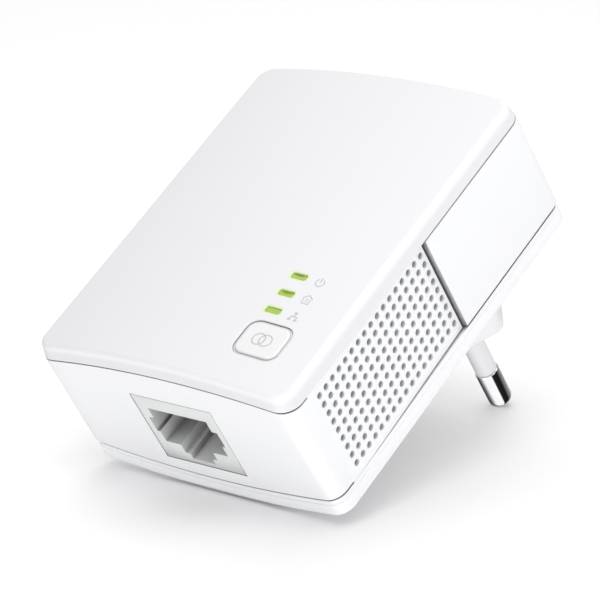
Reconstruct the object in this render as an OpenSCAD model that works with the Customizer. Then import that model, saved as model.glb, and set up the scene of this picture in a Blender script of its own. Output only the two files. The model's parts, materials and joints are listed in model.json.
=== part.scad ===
// Mains plug-in powerline network adapter, as an assembly of separate pieces.
// Frame: origin on the end face of the plug block, midway between the two pins.
// +X is the width, +Y points into the wall socket, +Z is up. Millimetres.

/* [Body] */
// Width of the body
body_w = 52; // [50:0.5:80]
// Height of the body
body_h = 65; // [62:0.5:100]
// Depth of the body, from the crown of the front to the crown of the back
body_d = 28.5; // [27.5:0.5:45]
// How far the front and the back bulge at their middle
face_bow = 2.1; // [1:0.1:3]
// Radius of the four upright corners
corner_r = 3.2; // [2.5:0.1:5]
// Wall of the middle housing
wall = 2; // [1.6:0.1:2.4]
// Height of the plug centre above the bottom of the body
plug_z = 49.3; // [46:0.1:56]

/* [Covers] */
// Thickness of the front wall
front_wall = 1.6; // [1.2:0.1:2]
// Depth of the front cover's skirt
front_skirt = 2.7; // [2.2:0.1:4]
// Thickness of the back wall
rear_wall = 1.8; // [1.4:0.1:2.2]
// Depth of the rear cover's skirt
rear_skirt = 3.4; // [3:0.1:5]
// Thickness of the locating lips inside the seams
lip_t = 1; // [0.8:0.1:1.2]
// Reach of the lips past the seams
lip_reach = 1.8; // [1.2:0.1:2.4]
// Gap between a lip and the wall it slides into
lip_clearance = 0.1; // [0.05:0.05:0.2]

/* [Vent grilles] */
// Holes along the height
vent_rows = 17; // [8:1:18]
// Holes along the depth
vent_cols = 9; // [5:1:9]
// Distance between hole centres
vent_pitch = 1.8; // [1.4:0.05:1.85]
// Radius of a vent hole
vent_r = 0.6; // [0.4:0.05:0.7]
// Height of the lowest row above the bottom of the body
vent_start = 6.35; // [5.5:0.05:8]
// Depth of the step at the top of the grille
vent_step = 0.9; // [0.5:0.1:1.1]
// Thickness of the grille plate
vent_plate = 1; // [0.8:0.1:1.2]

/* [Network socket] */
// Width of the socket housing
jack_w = 16.4; // [15.8:0.1:20]
// Height of the socket housing, across the body
jack_h = 13.9; // [13.5:0.1:14.4]
// Depth of the socket housing
jack_d = 16; // [15:0.1:18]
// Width of the plug opening at its side grooves
jack_mouth_w = 14.1; // [13.4:0.1:14.6]
// Number of contact wires
jack_contacts = 8; // [4:2:8]
// Pitch of the contact wires
jack_pitch = 1.02; // [0.9:0.02:1.27]
// Gap around the socket in the housing
jack_clearance = 0.1; // [0.05:0.05:0.3]

/* [Pair button and lights] */
// Distance of the button centre from the middle of the body
button_x = 15.55; // [14:0.05:16.5]
// Height of the button centre above the bottom of the body
button_z = 9.5; // [9:0.1:12]
// Width of the button opening
button_w = 8.4; // [7:0.1:9]
// Height of the button opening
button_h = 6.9; // [6:0.1:7.4]
// Corner radius of the button opening
button_r = 2; // [1:0.1:2.6]
// Gap between the button and its opening
button_clearance = 0.2; // [0.1:0.05:0.3]
// Travel of the button
button_travel = 0.5; // [0.3:0.05:0.6]
// Distance of the lights from the middle of the body
light_x = 13.55; // [12:0.05:15]
// Height of the lowest light above the bottom of the body
light_z = 15.17; // [15:0.01:18]
// Distance between the lights
light_pitch = 3.54; // [3:0.01:5]
// Width of a light window
light_w = 2.8; // [2:0.1:3.2]
// Height of a light window
light_h = 1.05; // [0.8:0.05:1.6]
// Number of lights
light_count = 3; // [1:1:4]

/* [Mains plug] */
// Distance between the two pins
pin_pitch = 19; // [17:0.1:22]
// Radius of the bare pin end
pin_r = 2; // [1.8:0.05:2.4]
// Length of a pin beyond the block
pin_len = 18.5; // [17:0.1:20]
// Radius of the insulating sleeve
sleeve_r = 1.84; // [1.7:0.02:1.9]
// Length of sleeve beyond the block
sleeve_len = 11; // [8:0.1:11]
// Width of the plug block across its points
block_w = 35.3; // [32:0.1:38]
// Height of the plug block across its flats
block_h = 13.7; // [12:0.1:15]
// Length of the flat top of the plug block
block_flat = 26.1; // [22:0.1:28]
// How far the block stands off the crown of the back
block_len = 10.3; // [8:0.1:14]
// Radius of the rounded points of the block
block_r = 2; // [1:0.1:2.5]

/* [Boards] */
// Thickness of the main board
main_board_t = 1; // [0.8:0.1:1.6]
// Thickness of the power board
power_board_t = 1.2; // [0.8:0.1:1.6]
// Distance from the front crown to the front of the main board
main_board_set = 7.2; // [7:0.1:8]
// Distance from the back crown to the back of the power board
power_board_set = 4.1; // [4:0.1:6]
// Gap between a board and the housing around it
board_clearance = 0.3; // [0.2:0.05:1]
// Radius of the screw shanks
screw_r = 0.8; // [0.6:0.05:1]
// Radius of the screw heads
screw_head_r = 1.7; // [1.4:0.1:2]

/* [Hidden] */
$fn = 48;
nothing = 0.01;
far = 200;

// Where the body lies
bottom_z = -plug_z;
top_z = bottom_z + body_h;
middle_z = bottom_z + body_h / 2;
half_w = body_w / 2;
back_crown = -block_len;
front_crown = back_crown - body_d;
bow_r = (half_w * half_w + face_bow * face_bow) / (2 * face_bow);
front_seam = front_crown + front_skirt;
rear_seam = back_crown - rear_skirt;
front_inside = front_crown + front_wall;
rear_inside = back_crown - rear_wall;
front_seam_edge = front_seam + face_bow;
rear_seam_edge = rear_seam - face_bow;
min_corner_r = 0.5;

// Grilles
vent_mid_y = (front_seam_edge + rear_seam_edge) / 2;
vent_foot = 2.2;
vent_head = 1.35;
vent_low_z = bottom_z + vent_start - vent_foot;
vent_high_z = bottom_z + vent_start + (vent_rows - 1) * vent_pitch + vent_head;
rail_w = 1.1;
rail_t = 1;
rail_x = half_w - vent_step - vent_plate - rail_t;

// Boards
board_half_w = min(rail_x - board_clearance, half_w - wall - lip_t - lip_clearance - board_clearance);
main_front = front_crown + main_board_set;
main_back = main_front + main_board_t;
main_low = bottom_z + wall + board_clearance;
main_high = top_z - wall - board_clearance - 0.2;
power_back = back_crown - power_board_set;
power_front = power_back - power_board_t;
power_low = bottom_z + jack_d + 1.8;
power_high = top_z - wall - lip_clearance - lip_t - board_clearance;
board_corner = 2;
tail_r = 0.75;
tail_gap = 0.1;
tail_reach = 1.2;
post_r = 2.3;
post_inset = 3.4;
post_x = board_half_w - post_inset;
front_posts = [[-post_x, main_high - post_inset], [post_x, main_high - post_inset],
    [-post_x, main_low + post_inset + 0.4]];
rear_posts = [[-post_x, power_low + post_inset], [post_x, power_low + post_inset],
    [post_x, power_high - post_inset + 1]];
screw_grip = 2.6;
screw_head_t = 1.2;
head_gap = 0.3;

// Socket
jack_front = main_back;
jack_back = jack_front + jack_h;
mouth_front = jack_front + 2.6;
mouth_depth = jack_d - 2.5;
wire_r = 0.23;
wire_run_y = mouth_front - 0.8;
wire_tail_z = bottom_z + 13.9;
wire_bend_z = bottom_z + 1.7;
wire_tip = [mouth_front + 2, bottom_z + 9.4];

// Plug: flange inside the rear cover, and how the pins sit in the block
flange_back = power_back + 0.5;
flange_reach = 1.3;
sleeve_seat = 4;
shank_r = 1.3;
tip_r = 1.2;

// Button, switch and lights
button_mid_z = bottom_z + button_z;
switch_w = 6;
switch_t = 2;
plunger_r = 1.6;
plunger_gap = 0.15;
plunger_rise = 0.9;
plunger_len = 1.5;
plunger_room = plunger_len - plunger_rise + button_travel + 0.2;
flange_t = 0.7;
flange_lip = 0.6;
flange_front = main_front - 4.05;
light_mid_z = bottom_z + light_z;
light_gap = 0.05;
chip_t = 0.6;

// Parts on the main board, as [x, z]
main_chip_at = [0, 1.2];
main_chip_w = 11;
main_chip_t = 0.9;
spreader_w = 13.6;
memory_at = [13, -13];
flash_at = [-11.5, -10];
port_chip_at = [-11, -21];
crystal_at = [14.5, -23];
network_transformer_at = [0, bottom_z + jack_d + 5.2];

// Parts of the power supply, as [x, z] on the power board
side_x = board_half_w - 5.3;
fuse_at = [side_x - 0.3, -0.2];
fuse_r = 4.1;
fuse_len = 8;
varistor_at = [-side_x, 0];
filter_at = [-14.2, 7.6];
choke_at = [12.8, 8.3];
bridge_at = [0, 3.6];
bulk_at = [[-side_x, -8.6], [-side_x, -17.6]];
bulk_r = 4;
bulk_len = 11.5;
transformer_at = [0, -13];
controller_at = [-10.4, -13.5];
opto_at = [10.4, -8.2];
diode_at = [10.6, -14.2];
output_at = [[side_x, -10], [side_x, -17.4]];
output_r = 3.15;
output_len = 11;
inductor_at = [12, -24.6];
coupling_at = [-0.5, -26.6];
coupling_caps_at = [[-10.6, -23.4], [-10.6, -28]];
link_at = [0, power_high - 1.8];
link_pins = 5;
link_pitch = 2.54;
link_w = link_pins * link_pitch;
link_d = 2.5;
link_socket_h = 8.5;
lead_r = 0.35;

// Outline of the body seen from the front, drawn in from its edge by inset.
module outline(inset = 0) {
    w = body_w - 2 * inset;
    h = body_h - 2 * inset;
    rounded_box(w, h, max(corner_r - inset, min_corner_r));
}

// Rectangle with round corners, centred on the origin.
module rounded_box(w, h, r) {
    square([w - 2 * r, h], center = true);
    square([w, h - 2 * r], center = true);
    for (sx = [-1, 1], sz = [-1, 1])
        translate([sx * (w / 2 - r), sz * (h / 2 - r)]) circle(r);
}

// Stands a flat shape upright and runs it from y0 to y1.
module upright(y0, y1) {
    translate([0, y1, 0]) rotate([90, 0, 0]) linear_extrude(y1 - y0) children();
}

// The body's outline as a prism over its whole depth.
module body_prism(inset = 0, y0 = front_crown - 1, y1 = back_crown + 1) {
    translate([0, 0, middle_z]) upright(y0, y1) outline(inset);
}

// Everything behind a bowed face whose crown is at y.
module behind_front(y) {
    translate([0, y + bow_r, middle_z]) cylinder(r = bow_r, h = far, center = true, $fn = 180);
}

// Everything in front of a bowed face whose crown is at y.
module ahead_of_back(y) {
    translate([0, y - bow_r, middle_z]) cylinder(r = bow_r, h = far, center = true, $fn = 180);
}

// Box given by its low and high corners.
module block_between(low, high) {
    translate(low) cube(high - low);
}

// Round bar along Y.
module y_bar(r, y0, y1, x = 0, z = 0) {
    translate([x, y1, z]) rotate([90, 0, 0]) cylinder(r = r, h = y1 - y0);
}

// Box on the front of the power board, standing forward by h.
module on_power_board(at, w, d, h) {
    block_between([at[0] - w / 2, power_front - h, at[1] - d / 2],
        [at[0] + w / 2, power_front, at[1] + d / 2]);
}

// Box on the back of the main board, standing back by h.
module on_main_board(at, w, d, h) {
    block_between([at[0] - w / 2, main_back, at[1] - d / 2],
        [at[0] + w / 2, main_back + h, at[1] + d / 2]);
}

// Keeps the lips out of the way of the grille rails and the socket.
module lip_gaps() {
    for (side = [-1, 1])
        translate([side * half_w, 0, (vent_low_z + vent_high_z) / 2])
            cube([4 * (wall + lip_t), far, vent_high_z - vent_low_z + 5], center = true);
    block_between([-jack_w / 2 - 0.5, front_seam, bottom_z - 1],
        [jack_w / 2 + 0.5, rear_seam + 1, bottom_z + wall + lip_t + 2]);
}

// Ring of the lip, between its outer and its inner outline.
module lip_ring(y0, y1) {
    difference() {
        body_prism(wall + lip_clearance, y0, y1);
        body_prism(wall + lip_clearance + lip_t, y0 - 1, y1 + 1);
        lip_gaps();
    }
}

// The snap bumps on a lip, and with slack the pockets that hold them.
snap_w = 5;
snap_t = 0.8;
snap_proud = 0.4;
module snaps(y, slack = 0) {
    reach_x = half_w - wall - lip_clearance;
    for (side = [-1, 1])
        translate([side * reach_x, y, top_z - 14])
            cube([2 * snap_proud, snap_t, snap_w] + slack * [2, 2, 2], center = true);
    for (x = [-14, 14])
        translate([x, y, top_z - wall - lip_clearance])
            cube([snap_w, snap_t, 2 * snap_proud] + slack * [2, 2, 2], center = true);
}
front_snap_y = front_seam_edge + lip_reach / 2;
rear_snap_y = rear_seam_edge - lip_reach / 2;

// The room that the socket housing takes in the shells around it.
module socket_space() {
    block_between([-jack_w / 2 - jack_clearance, jack_front - jack_clearance, bottom_z - 1],
        [jack_w / 2 + jack_clearance, jack_back + jack_clearance, bottom_z + jack_d + 1]);
}

module front_cover() {
    color("white") difference() {
        union() {
            difference() {
                intersection() {
                    body_prism();
                    behind_front(front_crown);
                }
                behind_front(front_seam);
            }
            intersection() {
                lip_ring(front_seam - 0.5, front_seam_edge + lip_reach);
                behind_front(front_inside - 0.5);
            }
            snaps(front_snap_y);
            for (p = front_posts)
                intersection() {
                    y_bar(post_r, front_crown, main_front, p[0], p[1]);
                    behind_front(front_inside - 0.5);
                }
        }
        difference() {
            intersection() {
                body_prism(wall + lip_clearance + lip_t, front_crown, front_seam_edge + lip_reach + 1);
                behind_front(front_inside);
            }
            for (p = front_posts) y_bar(post_r, front_crown - 1, main_front + 1, p[0], p[1]);
        }
        for (p = front_posts) y_bar(screw_r, main_front - screw_grip, main_front + 1, p[0], p[1]);
        translate([button_x, 0, button_mid_z]) upright(front_crown - 1, main_front)
            rounded_box(button_w, button_h, button_r);
        for (i = [0 : light_count - 1])
            translate([light_x, 0, light_mid_z + i * light_pitch]) upright(front_crown - 1, main_front)
                rounded_box(light_w, light_h, 0.3);
    }
}

// The space that the grille plate and the step above it take from the housing wall.
module grille_pocket(side) {
    scale([side, 1, 1]) upright(front_crown, back_crown)
        polygon([[half_w - vent_plate, vent_low_z], [half_w - vent_step - vent_plate, vent_high_z],
            [half_w + 1, vent_high_z], [half_w + 1, vent_low_z]]);
}

module middle_housing() {
    color("white") difference() {
        intersection() {
            difference() {
                union() {
                    difference() {
                        body_prism();
                        body_prism(wall, front_crown - 2, back_crown + 2);
                    }
                    for (side = [-1, 1], y = [front_seam_edge, rear_seam_edge - rail_w])
                        translate([side * (rail_x + half_w - wall + 0.5) / 2, y + rail_w / 2,
                            (vent_low_z + vent_high_z) / 2])
                            cube([half_w - wall - rail_x + 0.5, rail_w,
                                vent_high_z - vent_low_z + 3], center = true);
                }
                for (side = [-1, 1]) grille_pocket(side);
                for (side = [-1, 1])
                    translate([side * half_w, vent_mid_y, (vent_low_z + vent_high_z) / 2])
                        cube([2 * (half_w - rail_x) + 1,
                            rear_seam_edge - front_seam_edge - 2 * rail_w,
                            vent_high_z - vent_low_z - nothing], center = true);
            }
            behind_front(front_seam);
            ahead_of_back(rear_seam);
        }
        socket_space();
        snaps(front_snap_y, lip_clearance);
        snaps(rear_snap_y, lip_clearance);
    }
}

// A grille plate with its grid of holes, on the right or (side = -1) on the left.
module grille(side) {
    color("white") scale([side, 1, 1]) difference() {
        intersection() {
            upright(front_crown, back_crown)
                polygon([[half_w - vent_plate, vent_low_z],
                    [half_w - vent_step - vent_plate, vent_high_z],
                    [half_w - vent_step, vent_high_z], [half_w, vent_low_z]]);
            behind_front(front_seam);
            ahead_of_back(rear_seam);
        }
        for (row = [0 : vent_rows - 1], col = [0 : vent_cols - 1])
            translate([half_w - vent_step - vent_plate - 1,
                vent_mid_y + (col - (vent_cols - 1) / 2) * vent_pitch,
                bottom_z + vent_start + row * vent_pitch])
                rotate([0, 90, 0]) cylinder(r = vent_r, h = vent_step + vent_plate + 2, $fn = 20);
    }
}

module right_grille() { grille(1); }
module left_grille() { grille(-1); }

// Outline of the plug block: a flat hexagon with rounded points.
module block_outline(grow = 0) {
    slope_x = (block_w - block_flat) / 2;
    slope = atan2(block_h / 2, slope_x);
    point_x = block_w / 2 - block_r / sin(slope) + grow;
    flat_x = block_flat / 2 + grow / 2;
    flat_z = block_h / 2 + grow;
    tangent_x = point_x + block_r * sin(slope);
    tangent_z = block_r * cos(slope);
    polygon([[-flat_x, flat_z], [flat_x, flat_z], [tangent_x, tangent_z], [tangent_x, -tangent_z],
        [flat_x, -flat_z], [-flat_x, -flat_z], [-tangent_x, -tangent_z], [-tangent_x, tangent_z]]);
    for (side = [-1, 1]) translate([side * point_x, 0]) circle(block_r);
}

module rear_cover() {
    color("white") difference() {
        union() {
            difference() {
                intersection() {
                    body_prism();
                    ahead_of_back(back_crown);
                }
                ahead_of_back(rear_seam);
            }
            intersection() {
                lip_ring(rear_seam_edge - lip_reach, rear_seam + 0.5);
                ahead_of_back(rear_inside + 0.5);
            }
            snaps(rear_snap_y);
            for (p = rear_posts)
                intersection() {
                    y_bar(post_r, power_back, back_crown, p[0], p[1]);
                    ahead_of_back(rear_inside + 0.5);
                }
        }
        difference() {
            intersection() {
                body_prism(wall + lip_clearance + lip_t, rear_seam_edge - lip_reach - 1, back_crown);
                ahead_of_back(rear_inside);
            }
            for (p = rear_posts) y_bar(post_r, power_back, back_crown + 1, p[0], p[1]);
        }
        for (p = rear_posts) y_bar(screw_r, power_back - 1, power_back + screw_grip - 0.4, p[0], p[1]);
        upright(rear_seam, back_crown + 1) block_outline();
        socket_space();
    }
}

module plug_block() {
    color("white") difference() {
        union() {
            upright(rear_seam, 0) block_outline();
            intersection() {
                upright(flange_back, back_crown) block_outline(flange_reach);
                ahead_of_back(rear_inside - nothing);
            }
        }
        translate([-far / 2, flange_back - far, -far / 2]) cube(far);
        for (side = [-1, 1]) {
            y_bar(sleeve_r, -sleeve_seat, 1, side * pin_pitch / 2);
            y_bar(shank_r, flange_back - 1, 1, side * pin_pitch / 2);
        }
    }
}

// A pin: solder tail, shank in the block, thick bare end with a round tip.
module pin(side) {
    color("silver") translate([side * pin_pitch / 2, 0, 0]) rotate([-90, 0, 0]) rotate_extrude()
        difference() {
            union() {
                translate([0, power_front - tail_reach])
                    square([tail_r, flange_back - power_front + tail_reach]);
                translate([0, flange_back]) square([shank_r, sleeve_len - flange_back]);
                translate([0, sleeve_len]) square([pin_r, pin_len - sleeve_len - tip_r]);
                translate([0, pin_len - 2 * tip_r]) square([pin_r - tip_r, 2 * tip_r]);
                translate([pin_r - tip_r, pin_len - tip_r]) circle(tip_r);
            }
            translate([-far, -far / 2]) square(far);
        }
}

module live_pin() { pin(1); }
module neutral_pin() { pin(-1); }

module sleeve(side) {
    color("white") difference() {
        y_bar(sleeve_r, -sleeve_seat, sleeve_len, side * pin_pitch / 2);
        y_bar(shank_r, -sleeve_seat - 1, sleeve_len + 1, side * pin_pitch / 2);
    }
}

module live_sleeve() { sleeve(1); }
module neutral_sleeve() { sleeve(-1); }

module pair_button() {
    stem_r = 1.5;
    stem_end = main_front - switch_t - plunger_rise;
    color("white") {
        intersection() {
            translate([button_x, 0, button_mid_z]) upright(front_crown, flange_front + flange_t)
                rounded_box(button_w - 2 * button_clearance, button_h - 2 * button_clearance,
                    button_r - button_clearance);
            behind_front(front_crown - 0.1);
        }
        translate([button_x, 0, button_mid_z]) upright(flange_front, flange_front + flange_t)
            rounded_box(button_w + 2 * flange_lip, button_h + 2 * flange_lip, button_r);
        y_bar(stem_r, flange_front, stem_end, button_x, button_mid_z);
    }
}

module switch_body() {
    color("dimgray") difference() {
        translate([button_x - switch_w / 2, main_front - switch_t, button_mid_z - switch_w / 2])
            cube([switch_w, switch_t, switch_w]);
        y_bar(plunger_r + plunger_gap, main_front - switch_t - 1, main_front - switch_t + plunger_room,
            button_x, button_mid_z);
    }
}

module switch_plunger() {
    color("black") y_bar(plunger_r, main_front - switch_t - plunger_rise,
        main_front - switch_t - plunger_rise + plunger_len, button_x, button_mid_z);
}

module light_pipe() {
    bridge_front = front_inside + 1.1;
    foot = main_front - chip_t - 0.3;
    color([0.6, 0.85, 0.3]) {
        for (i = [0 : light_count - 1])
            intersection() {
                translate([light_x, 0, light_mid_z + i * light_pitch]) upright(front_crown, foot)
                    rounded_box(light_w - 2 * light_gap, light_h - 2 * light_gap, 0.25);
                behind_front(front_crown + 0.1);
            }
        block_between([light_x - light_w / 2, bridge_front, light_mid_z - light_h],
            [light_x + light_w / 2, bridge_front + 1,
                light_mid_z + (light_count - 1) * light_pitch + light_h]);
    }
}

module light_chips() {
    color("gold") for (i = [0 : light_count - 1])
        translate([light_x - 0.8, main_front - chip_t, light_mid_z + i * light_pitch - 0.4])
            cube([1.6, chip_t, 0.8]);
}

// A board: rectangle with round corners between two depths.
module board(low, high, front, back) {
    translate([0, 0, (low + high) / 2]) upright(front, back)
        rounded_box(2 * board_half_w, high - low, board_corner);
}

module main_board() {
    color("green") difference() {
        board(main_low, main_high, main_front, main_back);
        for (p = front_posts) y_bar(screw_r + head_gap, main_front - 1, main_back + 1, p[0], p[1]);
    }
}

// Mouth of the socket: side grooves, and two steps for the plug's latch.
module mouth() {
    groove = jack_mouth_w / 2;
    body_half = groove - 0.65;
    front_half = groove - 1.05;
    latch_wide = 3.3;
    latch_narrow = 2.3;
    module strip(half, y0, y1) { translate([-half, y0]) square([2 * half, y1 - y0]); }
    strip(front_half, 0, 2.3);
    strip(groove, 2.2, 5.4);
    strip(body_half, 5.3, 7.6);
    strip(latch_wide, 7.5, 9.4);
    strip(latch_narrow, 9.3, 10.4);
}

module rj45_jack() {
    color([0.87, 0.88, 0.87]) difference() {
        block_between([-jack_w / 2, jack_front, bottom_z], [jack_w / 2, jack_back, bottom_z + jack_d]);
        translate([0, mouth_front, bottom_z - 1]) linear_extrude(mouth_depth + 1) mouth();
        for (i = [0 : jack_contacts - 1]) {
            x = (i - (jack_contacts - 1) / 2) * jack_pitch;
            block_between([x - wire_r - 0.07, wire_run_y - wire_r - 0.1, wire_bend_z - 0.5],
                [x + wire_r + 0.07, mouth_front + 1, wire_tail_z + wire_r + 0.1]);
            y_bar(wire_r + 0.05, jack_front - 1, mouth_front, x, wire_tail_z);
        }
    }
}

// Round wire from one point to another in the plane at x.
module wire(x, from, to) {
    run = to - from;
    translate([x, from[0], from[1]]) rotate([-atan2(run[0], run[1]), 0, 0])
        cylinder(r = wire_r, h = norm(run), $fn = 16);
}

module rj45_contacts() {
    corner = [wire_run_y, wire_tail_z];
    bend = [wire_run_y, wire_bend_z];
    color("gold") for (i = [0 : jack_contacts - 1]) {
        x = (i - (jack_contacts - 1) / 2) * jack_pitch;
        wire(x, [jack_front, wire_tail_z], corner);
        wire(x, bend, corner);
        wire(x, bend, wire_tip);
        for (p = [bend, corner]) translate([x, p[0], p[1]]) sphere(r = wire_r, $fn = 16);
    }
}

module network_transformer() { color("black") on_main_board(network_transformer_at, 12.7, 7, 3.8); }
module main_chip() { color("black") on_main_board(main_chip_at, main_chip_w, main_chip_w, main_chip_t); }
module heat_spreader() {
    color("silver") translate([0, main_chip_t, 0]) on_main_board(main_chip_at, spreader_w, spreader_w, 1);
}
module memory_chip() { color("black") on_main_board(memory_at, 8, 12, 1.1); }
module flash_chip() { color("black") on_main_board(flash_at, 5, 4, 1.6); }
module port_chip() { color("black") on_main_board(port_chip_at, 6, 6, 0.9); }
module clock_crystal() { color("silver") on_main_board(crystal_at, 11, 4.5, 3.4); }

module link_socket() {
    color("black") on_main_board(link_at, link_w, link_d, link_socket_h);
}

// Header strip on the power board with its pins, which end at the socket.
module link_header() {
    color("goldenrod") {
        on_power_board(link_at, link_w, link_d, link_d);
        for (i = [0 : link_pins - 1])
            y_bar(lead_r, main_back + link_socket_h, power_front,
                (i - (link_pins - 1) / 2) * link_pitch, link_at[1]);
    }
}

module power_board() {
    color("darkgreen") difference() {
        board(power_low, power_high, power_front, power_back);
        for (p = rear_posts) y_bar(screw_r + head_gap, power_front - 1, power_back + 1, p[0], p[1]);
        for (side = [-1, 1]) y_bar(tail_r + tail_gap, power_front - 1, power_back + 1, side * pin_pitch / 2);
    }
}

module fuse() {
    color("saddlebrown") y_bar(fuse_r, power_front - fuse_len, power_front, fuse_at[0], fuse_at[1]);
}

module surge_varistor() {
    disc_r = 4.4;
    disc_t = 3.6;
    lead_gap = 2;
    color("royalblue") {
        translate([varistor_at[0], power_front - disc_r - 1, varistor_at[1] - disc_t / 2])
            cylinder(r = disc_r, h = disc_t);
        for (side = [-1, 1])
            y_bar(lead_r, power_front - 3, power_front, varistor_at[0] + side * lead_gap, varistor_at[1]);
    }
}

module mains_filter_capacitor() { color("gold") on_power_board(filter_at, 13, 5.6, 11); }

module mains_choke() {
    coil_r = 2.6;
    coil_end = 8;
    flange = [7.6, 5.8];
    color("darkorange") {
        on_power_board(choke_at, flange[0], flange[1], 1.2);
        y_bar(coil_r, power_front - coil_end, power_front - 1, choke_at[0], choke_at[1]);
        translate([0, -coil_end, 0]) on_power_board(choke_at, flange[0], flange[1], 1);
    }
}

module bridge_rectifier() { color("black") on_power_board(bridge_at, 6.5, 5, 2.6); }

// A round capacitor can standing on the power board.
module can(at, r, len) {
    y_bar(r, power_front - len, power_front, at[0], at[1]);
}

module bulk_capacitors() { color("darkslateblue") for (at = bulk_at) can(at, bulk_r, bulk_len); }
module output_capacitors() { color("black") for (at = output_at) can(at, output_r, output_len); }

// Transformer: base and bobbin, winding on the bobbin, ferrite around both.
core_w = 13;
core_d = 6;
core_plate = 2;
core_low = 1.6;
core_high = 12;
leg_r = 2.2;
bobbin_wall = 0.6;
bobbin_gap = 0.05;
bobbin_cheek = 0.7;
cheek_r = 4.8;

module transformer_core() {
    window = core_high - core_low - 2 * core_plate;
    color("dimgray") {
        difference() {
            translate([0, -core_low, 0]) on_power_board(transformer_at, core_w, core_d, core_high - core_low);
            translate([0, -core_low - core_plate, 0])
                on_power_board(transformer_at, 2 * (cheek_r + bobbin_gap), core_d + 1, window);
        }
        y_bar(leg_r, power_front - core_high + 1, power_front - core_low - 1,
            transformer_at[0], transformer_at[1]);
    }
}

module transformer_bobbin() {
    low = core_low + core_plate;
    high = core_high - core_plate;
    color("ivory") {
        on_power_board(transformer_at, core_w, core_w, core_low);
        difference() {
            union() {
                y_bar(leg_r + bobbin_gap + bobbin_wall, power_front - high, power_front - low,
                    transformer_at[0], transformer_at[1]);
                for (y = [high, low + bobbin_cheek])
                    y_bar(cheek_r, power_front - y, power_front - y + bobbin_cheek,
                        transformer_at[0], transformer_at[1]);
            }
            y_bar(leg_r + bobbin_gap, power_front - high - 1, power_front - low + 1,
                transformer_at[0], transformer_at[1]);
        }
        for (side = [-1, 1])
            translate([0, 0, side * (core_d / 2 + 0.6)])
                on_power_board(transformer_at, 4, 1, low + bobbin_cheek);
    }
}

module transformer_winding() {
    low = core_low + core_plate + bobbin_cheek;
    high = core_high - core_plate - bobbin_cheek;
    color("gold") difference() {
        y_bar(cheek_r - 0.4, power_front - high, power_front - low, transformer_at[0], transformer_at[1]);
        y_bar(leg_r + bobbin_gap + bobbin_wall, power_front - high - 1, power_front - low + 1,
            transformer_at[0], transformer_at[1]);
    }
}

module power_controller() { color("black") on_power_board(controller_at, 4, 5, 1.6); }
module optocoupler() { color("black") on_power_board(opto_at, 4.4, 4.6, 3.5); }
module output_diode() { color("black") on_power_board(diode_at, 4.6, 3.8, 2.3); }

module output_inductor() {
    drum_r = 3.5;
    drum_waist = 2.8;
    drum_h = 7;
    color("dimgray") {
        y_bar(drum_r, power_front - 1, power_front, inductor_at[0], inductor_at[1]);
        y_bar(drum_waist, power_front - drum_h + 1, power_front - 0.5, inductor_at[0], inductor_at[1]);
        y_bar(drum_r, power_front - drum_h, power_front - drum_h + 1, inductor_at[0], inductor_at[1]);
    }
}

module line_coupling_transformer() { color("gold") on_power_board(coupling_at, 9, 7.4, 6.5); }
module line_coupling_capacitors() {
    color("firebrick") for (at = coupling_caps_at) on_power_board(at, 7.2, 2.6, 6.4);
}

module insulating_sheet() {
    sheet_t = 0.2;
    low = power_low + 1;
    high = power_high - 1;
    color("ivory") difference() {
        translate([0, 0, (low + high) / 2]) upright(power_back, power_back + sheet_t)
            rounded_box(2 * board_half_w - 3, high - low, board_corner);
        for (p = rear_posts) y_bar(post_r + 0.2, power_front, back_crown, p[0], p[1]);
        for (side = [-1, 1]) y_bar(tail_r + 0.3, power_front, back_crown, side * pin_pitch / 2);
    }
}

module main_board_screws() {
    color("silver") for (p = front_posts) {
        y_bar(screw_head_r, main_back, main_back + screw_head_t, p[0], p[1]);
        y_bar(screw_r, main_front - screw_grip + 0.2, main_back + 0.5, p[0], p[1]);
    }
}

module power_board_screws() {
    color("silver") for (p = rear_posts) {
        y_bar(screw_head_r, power_front - screw_head_t, power_front, p[0], p[1]);
        y_bar(screw_r, power_front - 0.5, power_back + screw_grip - 0.6, p[0], p[1]);
    }
}

module rating_label() {
    label_t = 0.12;
    label_w = 30;
    label_h = 24;
    color("whitesmoke") difference() {
        intersection() {
            translate([0, 0, bottom_z + 10 + label_h / 2]) upright(rear_seam, back_crown + 1)
                rounded_box(label_w, label_h, 1);
            translate([0, back_crown - bow_r, middle_z])
                cylinder(r = bow_r + label_t, h = far, center = true, $fn = 180);
        }
        ahead_of_back(back_crown);
    }
}

front_cover();
middle_housing();
right_grille();
left_grille();
rear_cover();
plug_block();
live_pin();
neutral_pin();
live_sleeve();
neutral_sleeve();
pair_button();
switch_body();
switch_plunger();
light_pipe();
light_chips();
main_board();
rj45_jack();
rj45_contacts();
network_transformer();
main_chip();
heat_spreader();
memory_chip();
flash_chip();
port_chip();
clock_crystal();
link_socket();
link_header();
power_board();
fuse();
surge_varistor();
mains_filter_capacitor();
mains_choke();
bridge_rectifier();
bulk_capacitors();
transformer_core();
transformer_bobbin();
transformer_winding();
power_controller();
optocoupler();
output_diode();
output_capacitors();
output_inductor();
line_coupling_transformer();
line_coupling_capacitors();
insulating_sheet();
main_board_screws();
power_board_screws();
rating_label();
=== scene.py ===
# %% [markdown]
# # A plug-in powerline adapter
# The real thing is a small white box of injection-moulded plastic that hangs in a wall socket.
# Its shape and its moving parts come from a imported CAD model. This notebook gives that model
# soft edges, real seams, perforated grilles and finishes, one piece at a time.

# %% Load the CAD frame
import json
import math

import bmesh
import bpy
import numpy as np
from mathutils import Matrix, Vector, geometry

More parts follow.
